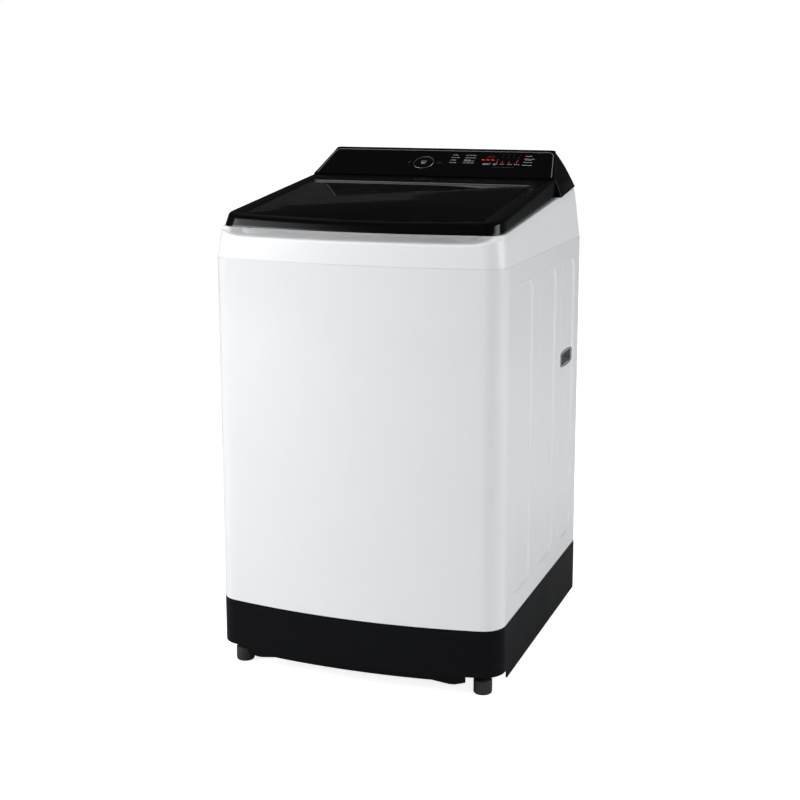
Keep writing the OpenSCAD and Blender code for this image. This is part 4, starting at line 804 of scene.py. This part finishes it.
def lid_pane():
    """A closed plate with a ground edge."""
    bm = closed_sweep(glass_rings([(0.4, 4), (0.4, 0.9), (0.7, 0.55), (1.2, 0.45)]))
    return piece("lid_pane", bm, "lid", "tinted_glass", ["lid_glass"])


report(lid_frame(), lid_pane())

# %% [markdown]
# ## The console
# The console is one black moulding behind the lid. Its ends lean in and are well rounded, so it is
# swept from end to end as a stack of profiles: close to an end each profile is drawn in while it is
# pushed outwards, which rounds the end as a bevel would, with a larger radius along the ridge.

# %% The raked face
face_rake = math.radians(30.5)
face_y, face_z = lid_back + 0.5 * mm, 994.5 * mm
face_len, face_low, face_high = 104.5 * mm, 277 * mm, 259 * mm
ridge_z, ridge_r = cad_high.z, 5.5 * mm
rear_r, rear_drop, rear_turn, rear_swell = 18 * mm, 69 * mm, 38, 5 * mm
console_foot, console_half = 965 * mm, half_w - lid_side
console_sharp = 40


def on_face(x, up, out=0.0):
    """A point on the raked face: across, up along the face, and out from it."""
    rise, run = math.sin(face_rake), math.cos(face_rake)
    return Vector((x, face_y + up * run - out * rise, face_z + up * rise + out * run))


def console_width(z):
    """Half the console's width at a height."""
    return face_high + (ridge_z - z) * (console_half - face_high) / (ridge_z - console_foot)


print("half width, ridge and face:", [round(console_width(z), 4) for z in (ridge_z, face_z)])


# %% The console's profile
def drawn_in(points, radius):
    """Profile points as (y, z), each with how far it is drawn in at an end, in millimetres."""
    return [((p.x, p.y), radius) for p in points]


def console_profile():
    """The profile from the rear edge over the ridge and down the face to the lip behind the lid."""
    face_start, hinge = Vector((face_y, face_z)), Vector((hinge_y, hinge_z))
    lip = face_start - hinge
    foot_gap = 0.3 * mm
    ridge_mid_z = ridge_z - ridge_r
    ridge_mid_y = face_y + (ridge_r + (ridge_mid_z - face_z) * math.cos(face_rake)) / math.sin(face_rake)
    rear_y = back_y - 1 * mm
    rows = drawn_in([Vector((rear_y, rim_height(rear_y) + foot_gap))], 4)
    rows += drawn_in(arc((rear_y - rear_r, ridge_z - rear_drop), rear_r, 0, rear_turn, 6), 5)
    ridge = arc((ridge_mid_y, ridge_mid_z), ridge_r, rear_turn, 90 + math.degrees(face_rake), 12)
    slope_start, slope_end = Vector(rows[-1][0]), ridge[0]
    swell = Vector((slope_end - slope_start).yx).normalized() * rear_swell
    swell.y = -swell.y
    for i in range(1, 8):
        point = slope_start.lerp(slope_end, i / 8) + swell * math.sin(math.pi * i / 8)
        rows += drawn_in([point], 5 + i / 2)
    for i, point in enumerate(ridge):
        rows += drawn_in([point], 9 if i < 9 else 9 - 2 * (i - 8))
    rows += drawn_in(between(ridge[-1], face_start, 5), 1.6)
    rows += drawn_in(arc(hinge, lip.length, math.degrees(math.atan2(lip.y, lip.x)), 0, 6), 1.6)
    lip_y = hinge_y + lip.length
    return rows + drawn_in([Vector((lip_y, rim_height(lip_y) + foot_gap))], 1.6)


def outward_directions(points):
    """Unit directions that point out of a closed profile drawn anticlockwise."""
    count = len(points)
    sides = [(points[(i + 1) % count] - points[i]).normalized() for i in range(count)]
    mean = [(sides[i - 1] + sides[i]).normalized() for i in range(count)]
    return [Vector((m.y, -m.x)) for m in mean]


def console():
    """The moulding, swept from its left end to its right one."""
    rows = console_profile()
    points = [Vector(p) for p, _ in rows]
    out = outward_directions(points)
    rings = []
    turns = [math.radians(90 * i / 7) for i in range(8)]
    for side in (-1, 1):
        for turn in (turns if side < 0 else turns[::-1]):
            ring = []
            for (place, r), point, away in zip(rows, points, out):
                inner = point - away * r * mm * (1 - math.sin(turn))
                x = console_width(point.y) - r * mm * (1 - math.cos(turn))
                ring.append(Vector((side * x, inner.x, inner.y)))
            rings.append(ring)
    return piece("console_moulding", closed_sweep(rings), "cabinet", "gloss_black",
                 ["console_housing"], sharp=console_sharp)


console_piece = console()
report(console_piece)

# %% [markdown]
# The control plate lies in a shallow bed in the face. A bed is easiest to cut with a boolean: a
# cutter of the plate's outline is subtracted, and the result is kept as the console's mesh.

# %% Cutting a shape out of a piece
def carve(target, cutter):
    """Subtracts a closed bmesh from a piece and keeps the result as its mesh."""
    mesh = bpy.data.meshes.new("cutter")
    bmesh.ops.recalc_face_normals(cutter, faces=cutter.faces)
    cutter.to_mesh(mesh)
    cutter.free()
    tool = bpy.data.objects.new("cutter", mesh)
    scene.collection.objects.link(tool)
    cut = target.modifiers.new("cut", "BOOLEAN")
    cut.operation, cut.object, cut.solver = "DIFFERENCE", tool, "EXACT"
    view = bpy.context.evaluated_depsgraph_get()
    carved = bpy.data.meshes.new_from_object(target.evaluated_get(view), depsgraph=view)
    target.modifiers.remove(cut)
    old, target.data = target.data, carved
    bpy.data.meshes.remove(old)
    bpy.data.objects.remove(tool)
    bpy.data.meshes.remove(mesh)


def face_outline(inset, radius, bottom):
    """The control plate's outline with rounded upper corners, as (x, up)."""
    side = lambda up: face_low - (face_low - face_high) * up / face_len - inset
    top = face_len - inset - 1 * mm
    right = arc((side(top) - radius, top - radius), radius, 0, 90, 8)
    right[0] = Vector((side(top - radius), top - radius))
    left = [Vector((-p.x, p.y)) for p in right[::-1]]
    return [Vector((side(bottom), bottom))] + right + left + [Vector((-side(bottom), bottom))]


def plate(outline, low, high, holes=()):
    """A flat plate on the face between two levels, with holes through it."""
    bm = bmesh.new()
    loops = []
    for points in (outline, *holes):
        loops += wire(bm, [on_face(p.x, p.y, high) for p in points])
    bmesh.ops.triangle_fill(bm, edges=loops, use_beauty=True)
    made = bmesh.ops.extrude_face_region(bm, geom=bm.faces[:])["geom"]
    down = on_face(0, 0, low) - on_face(0, 0, high)
    bmesh.ops.translate(bm, verts=[g for g in made if isinstance(g, bmesh.types.BMVert)], vec=down)
    return bm


# %% Control plate and trim
key_x, key_up, key_ring_r = -32 * mm, 52 * mm, 23 * mm
plate_t, plate_foot = 3 * mm, 5.2 * mm
bed = plate(face_outline(2 * mm, 12 * mm, plate_foot - 0.4 * mm), -plate_t, 20 * mm)
key_hole = plate(arc((key_x, key_up), 15.5 * mm, 0, 360, 40)[:-1], -30 * mm, 0)
for cutter in (bed, key_hole):
    carve(console_piece, cutter)
smooth(console_piece.data, console_sharp)

plate_mesh = plate(face_outline(4.1 * mm, 10 * mm, plate_foot), -plate_t, 0,
                   [arc((key_x, key_up), key_ring_r + 0.1 * mm, 0, 360, 96)[:-1]])
control_plate = piece("control_plate", plate_mesh, "cabinet", "panel_black", ["control_panel"],
                      soften=0.25 * mm)


def trim_band():
    """The fine bright band round three sides of the plate, swept along its path."""
    outer = face_outline(2.1 * mm, 12 * mm, plate_foot)
    inner = face_outline(4 * mm, 10.1 * mm, plate_foot)
    rings = []
    for a, b in zip(outer, inner):
        section = [(a.lerp(b, share), out * mm) for share, out in
                   ((0, -2.9), (0, 0.05), (0.12, 0.24), (0.3, 0.3), (0.7, 0.3), (0.88, 0.24), (1, 0.05),
                    (1, -2.9))]
        rings.append([on_face(p.x, p.y, out) for p, out in section])
    return piece("plate_trim", closed_sweep(rings), "cabinet", "dark_trim", ["panel_trim"], sharp=50)


report(control_plate, trim_band())

# %% [markdown]
# ## Marks on the plate
# The plate's printing and lamps are too fine for separate parts, so each is a thin raised patch. Printed
# lines are shown as rows of short bars, and the lit time as seven-stroke figures.

# %% Printing and lamps
def ink(name, colour, **shader_values):
    """Matt print or a lamp's lens."""
    return finish(name, uneven, {"Colour": (*colour, 1), "Roughness": 0.5}, **shader_values)


prints = {
    "print_grey": ink("printed grey", (0.3, 0.3, 0.31)),
    "print_dim": ink("printed dim", (0.06, 0.06, 0.065)),
    "lamp_bright": ink("lamp bright", (0.35, 0.01, 0.005), Emission_Color=(1.0, 0.06, 0.02, 1),
                       Emission_Strength=0.75),
    "lamp_dim": ink("lamp dim", (0.1, 0.006, 0.006), Emission_Color=(1.0, 0.07, 0.05, 1),
                    Emission_Strength=0.1),
}
marks, print_out, word_gap = [], 0.06, 1.1


def bar(bm, x, up, width, height, out=print_out, lean=0.0):
    """A thin patch on the plate, centred on x and up (in millimetres)."""
    for vert in bmesh.ops.create_grid(bm, x_segments=1, y_segments=1, size=0.5)["verts"]:
        across, along = vert.co.x * width, vert.co.y * height
        vert.co = on_face((x + across + lean * along) * mm, (up + along) * mm, out * mm)


def words(bm, x, up, lengths, height=1.9, out=print_out):
    """A line of print as bars of the given lengths, starting at x."""
    for length in lengths:
        bar(bm, x + length / 2, up, length, height, out=out)
        x += length + word_gap


def figure(bm, x, up, strokes):
    """A seven-stroke figure that leans a little: strokes is a string of the lit ones, from a to g."""
    stroke_w, half_x, half_z, lean = 1.0, 2.1, 4.0, 0.12
    places = {"a": (0, 1), "b": (1, 0.5), "c": (1, -0.5), "d": (0, -1), "e": (-1, -0.5), "f": (-1, 0.5),
              "g": (0, 0)}
    for stroke in strokes:
        dx, dy = places[stroke][0] * half_x, places[stroke][1] * half_z
        size = (stroke_w, half_z - stroke_w) if dx else (2 * half_x - stroke_w, stroke_w)
        bar(bm, x + dx + lean * dy, up + dy, *size, lean=lean)


def ring_mark(bm, x, start=0, end=360):
    """A thin ring or part of one, at the key's height."""
    lines = [arc((x, key_up / mm), radius, start, end, 24) for radius in (3.4, 2.7)]
    rings = [[on_face(p.x * mm, p.y * mm, print_out * mm) for p in line] for line in lines]
    sweep(bm, rings, closed=False)


def mark_piece(name, bm, body, look):
    """Turns the patches' faces out of the plate, gives them their colour and a body to ride on."""
    up = on_face(0, 0, 1) - on_face(0, 0, 0)
    bm.normal_update()
    bmesh.ops.reverse_faces(bm, faces=[f for f in bm.faces if f.normal.dot(up) < 0])
    piece(name, bm, body, "panel_black", look=prints[look])
    marks.append(name)


# %% Lists of programmes and options
grey = bmesh.new()
lines = [(28, 83.5, (3, 9)), (28, 73.5, (6, 4, 7)), (28, 63.5, (5, 7)), (28, 53.5, (7, 8)),
         (60, 83.5, (4, 8, 9)), (60, 73.5, (9, 5, 8)), (60, 64.8, (7, 6)), (60, 61.2, (8, 9, 5)),
         (60, 53.5, (6, 10, 6)), (196, 84, (3, 12)), (196, 73, (8, 5, 9)), (199, 69.5, (4, 9)),
         (198, 60, (6, 4, 7)), (197, 49, (9, 12)), (106, 52, (5, 7, 4)), (107, 48.6, (8, 5)),
         (130, 52, (5, 3)), (130, 48.6, (4, 3)), (146, 51, (4, 4)), (162, 51, (5, 5)), (178, 51, (7, 4))]
for x, up, lengths in lines:
    words(grey, x, up, lengths)
mark_piece("printed_lists", grey, "cabinet", "print_grey")

dim = bmesh.new()
for i in range(9):
    bar(dim, 134 + 5.6 * i, 39, 3.2, 1.3)
words(dim, 222, 95.5, (4, 5), height=1.2)
ring_mark(dim, -66, 30, 330)
ring_mark(dim, 3)
bar(dim, 9, key_up / mm, 4, 1.0)
for x in (146, 158, 170, 184):
    for up in (88, 79):
        bar(dim, x, up, 2.6, 1.0)
mark_piece("printed_icons", dim, "cabinet", "print_dim")

lit = bmesh.new()
for x in (104, 115, 126):
    bar(lit, x, 66.5, 7.4, 2.2)
    bar(lit, x - 2.6, 68.6, 1.4, 1.8)
for x, up in ((137, 68), (137, 62), (137, 57), (150, 60.5), (150, 56.5), (165, 60.5), (165, 56.5),
              (183, 68), (183, 62), (183, 57), (181, 62)):
    bar(lit, x, up, 1.7, 1.7)
bar(lit, 198.2, 84, 4.4, 1.9, out=0.1)
bar(lit, 29.6, 83.5, 2.6, 1.9, out=0.1)
mark_piece("lamps_lit", lit, "cabinet", "lamp_bright")

shown = bmesh.new()
for x, strokes in ((110, "bc"), (117, "abged"), (124, "abcdef")):
    figure(shown, x, 79.5, strokes)
for up in (77.5, 81.5):
    bar(shown, 113.6, up, 1.0, 1.0)
mark_piece("time_lit", shown, "cabinet", "lamp_dim")

key_marks = bmesh.new()
for x, up, lengths in ((-38.5, 55.6, (6, 6)), (-37.5, 50.4, (11,)), (-36, 47, (8,))):
    words(key_marks, x, up, lengths, height=1.7, out=0.88)
mark_piece("key_print", key_marks, "key", "print_grey")
print("marks made:", marks)

# %% [markdown]
# ## The pane's rear bead, a painted highlight
# A thin bead closes the gap between the pane and the lid's rear band. Its grey is lighter than the lid's
# black, so it paints the highlight of that edge as a fine line across the whole width.

# %% Rear bead, a painted highlight line
middle = (glass_back + 0.3 * mm, lid_height(glass_back) - 0.1 * mm)
highlight_bead_rings = []
for x, radius in ((-248, 0.4), (-246, 0.8), (246, 0.8), (248, 0.4)):
    highlight_bead_rings.append([Vector((x * mm, p.x, p.y)) for p in arc(middle, radius * mm, 0, 360, 10)[:-1]])
# The bead's lighter grey is a painted highlight along the pane's rear edge, not the lid's own colour.
report(piece("rear_highlight_bead", closed_sweep(highlight_bead_rings), "lid", "dark_trim", sharp=60))

# %% [markdown]
# ## Side grips
# A grip is a moulded cup that snaps into the side sheet: a rolled rim stands out a little, and behind it
# the hand finds a deep pocket. Both are one stack of rings of a barrel shaped outline, upright at its
# ends and bowed above and below, so only the inset and the depth change from ring to ring.

# %% Side grips
grip_half_l, grip_end_h, grip_bow, grip_r = 50.0, 15.0, 4.0, 4.0


def barrel(inset):
    """The grip's outline as (along, up) in millimetres: upright ends and bowed long sides."""
    r = max(0.5, grip_r - inset / 2)
    length, height = grip_half_l - inset - r, grip_end_h - inset
    bow = [(length * i / 8, height + grip_bow * (1 - (i / 8) ** 2)) for i in range(-7, 8)]
    corner = [(length + p.x, height - r + p.y) for p in arc((0, 0), r, 0, 90, 5)]
    half = corner + bow[::-1] + [(-x, h) for x, h in corner[::-1]]
    return half + [(-x, -h) for x, h in half]


def grip_cup(side):
    """The cup on one side, from the sheet over its rim and down to the bottom of the pocket."""
    name = "left" if side < 0 else "right"
    steps = [(0, -0.4), (0, 1.3), (0.5, 2.2), (1.6, 2.7), (3.4, 2.6), (4.2, 2.1), (4.6, 1), (4.8, -2),
             (5.4, -9), (6.6, -18), (8, -22.5), (9.4, -24.6), (10.8, -25.6), (11.6, -25.9)]
    rings = []
    for inset, out in steps:
        x = side * (half_w - press_depth + out * mm)
        rings.append([Vector((x, grip_mid.y + a * mm, grip_mid.z + u * mm)) for a, u in barrel(inset)])
    bm = bmesh.new()
    cap(bm, sweep(bm, rings))
    return piece("grip_cup_" + name, bm, "cabinet", "grip_grey", ["side_grip_" + name], sharp=60)


report(grip_cup(-1), grip_cup(1))

# %% [markdown]
# ## Feet
# A foot is a rubber pad on a threaded stud, with ribs to turn it by hand. It is turned like a part on a
# lathe: a profile goes round the axis, and where the profile says so the ribs wave the radius.

# %% Turned parts
ribs, rib_depth = 20, 0.9


def turn_rings(profile, place, steps):
    """Rings for a profile of (radius, height) about an axis; a third value asks for ribs there."""
    rings = []
    for radius, height, *ribbed in profile:
        ring = []
        for i in range(steps):
            turn = 2 * math.pi * i / steps
            r = (radius - (rib_depth * (0.5 + 0.5 * math.cos(ribs * turn)) if ribbed else 0)) * mm
            ring.append(place(r * math.cos(turn), r * math.sin(turn), height * mm))
        rings.append(ring)
    return rings


def foot_pad(name):
    """A levelling foot, left or right: a ribbed rubber pad moulded on its stud."""
    low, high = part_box("front_foot_" + name)
    centre = (low + high) / 2
    place = lambda x, y, z: Vector((centre.x + x, centre.y + y, z))
    profile = [(13, 1.6), (14.5, 1.2), (15.2, 0), (17, 0.4), (18.2, 1.6), (18.9, 4), (19, 6, "ribbed"),
               (19, 24.5, "ribbed"), (19, 26.5), (18.6, 28.5), (17.4, 30), (15, 31), (9, 31.6),
               (7.6, 33), (5, 34), (5, 83), (4.2, 84)]
    bm = closed_sweep(turn_rings(profile, place, 120))
    return piece("foot_pad_" + name, bm, "foot_" + name, "foot_rubber", ["front_foot_" + name],
                 sharp=40)


report(foot_pad("left"), foot_pad("right"))

# %% [markdown]
# ## Ring round the course key
# Round the key runs a bright band hardly wider than a thread, and inside it a black collar hides the
# gap in which the key moves. Both are turned about the key's axis, which stands square to the raked
# face.

# %% Ring round the course key
def key_ring(name, profile, slot, replaced=()):
    """A band turned about the key's axis; the profile closes on itself."""
    bm = bmesh.new()
    along = lambda x, up, out: on_face(key_x + x, key_up + up, out)
    sweep(bm, turn_rings(profile + profile[:1], along, 96))
    return piece(name, bm, "cabinet", slot, replaced, sharp=50)


key_low, key_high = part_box("course_key")
key_r = (key_high.x - key_low.x) / 2 / mm
band_profile = [(23, -2.9), (23, 0.1), (22.8, 0.35), (22, 0.35), (21.7, 0.1), (21.7, -2.9)]
collar_profile = [(21.7, -2.9), (21.7, -0.15), (21.5, 0), (key_r + 0.6, 0), (key_r + 0.35, -0.25),
                  (key_r + 0.35, -2.9)]
report(key_ring("ring_band", band_profile, "bright_ring", ["course_ring"]),
       key_ring("ring_collar", collar_profile, "panel_black"))
print("key radius:", round(key_r, 2))

# %% [markdown]
# ## Hinge pins
# The lid turns on two short steel pins. The lid's side leans in, so the pins end a little sooner than
# the solid ones do and stay hidden in it.

# %% Hinge pins
def hinge_pins():
    """The two pins, as long as the lid's leaning side lets them be, with chamfered ends."""
    pins_low, pins_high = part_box("lid_hinge_pins")
    middle, radius = (pins_low + pins_high) / 2, (pins_high.z - pins_low.z) / 2 / mm
    inner = min(abs(v.co.x) for v in nodes["lid_hinge_pins"].data.vertices) / mm
    shortened, chamfer = 3.2, 0.8
    outer = pins_high.x / mm - shortened
    profile = [(radius - chamfer, inner), (radius, inner + chamfer), (radius, outer - chamfer),
               (radius - chamfer, outer)]
    bm = bmesh.new()
    for side in (-1, 1):
        place = lambda y, z, x: Vector((side * x, middle.y + y, middle.z + z))
        cap(bm, sweep(bm, turn_rings(profile, place, 32)))
    bmesh.ops.holes_fill(bm, edges=bm.edges[:], sides=0)
    return piece("hinge_pin_pair", bm, "lid", "plain_steel", ["lid_hinge_pins"], sharp=50)


report(hinge_pins())

# %% [markdown]
# ## Springs and bellows
# The springs and the drain bellows stand between the cabinet and the hanging tub. Their solids have the
# right shape already, so each mesh is a copy of its solid that rides on no body.

# %% Springs and bellows
def giving_part(name, node, slot):
    """A part in the shape of its solid, on no body, with its place baked into its mesh."""
    bm = bmesh.new()
    bm.from_mesh(nodes[node].data)
    made = piece(name, bm, None, slot, [node], sharp=40)
    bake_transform(made)
    return made


report(giving_part("spring_set", "suspension_springs", "spring_steel"),
       giving_part("bellows_tube", "drain_bellows", "bellows_rubber"))
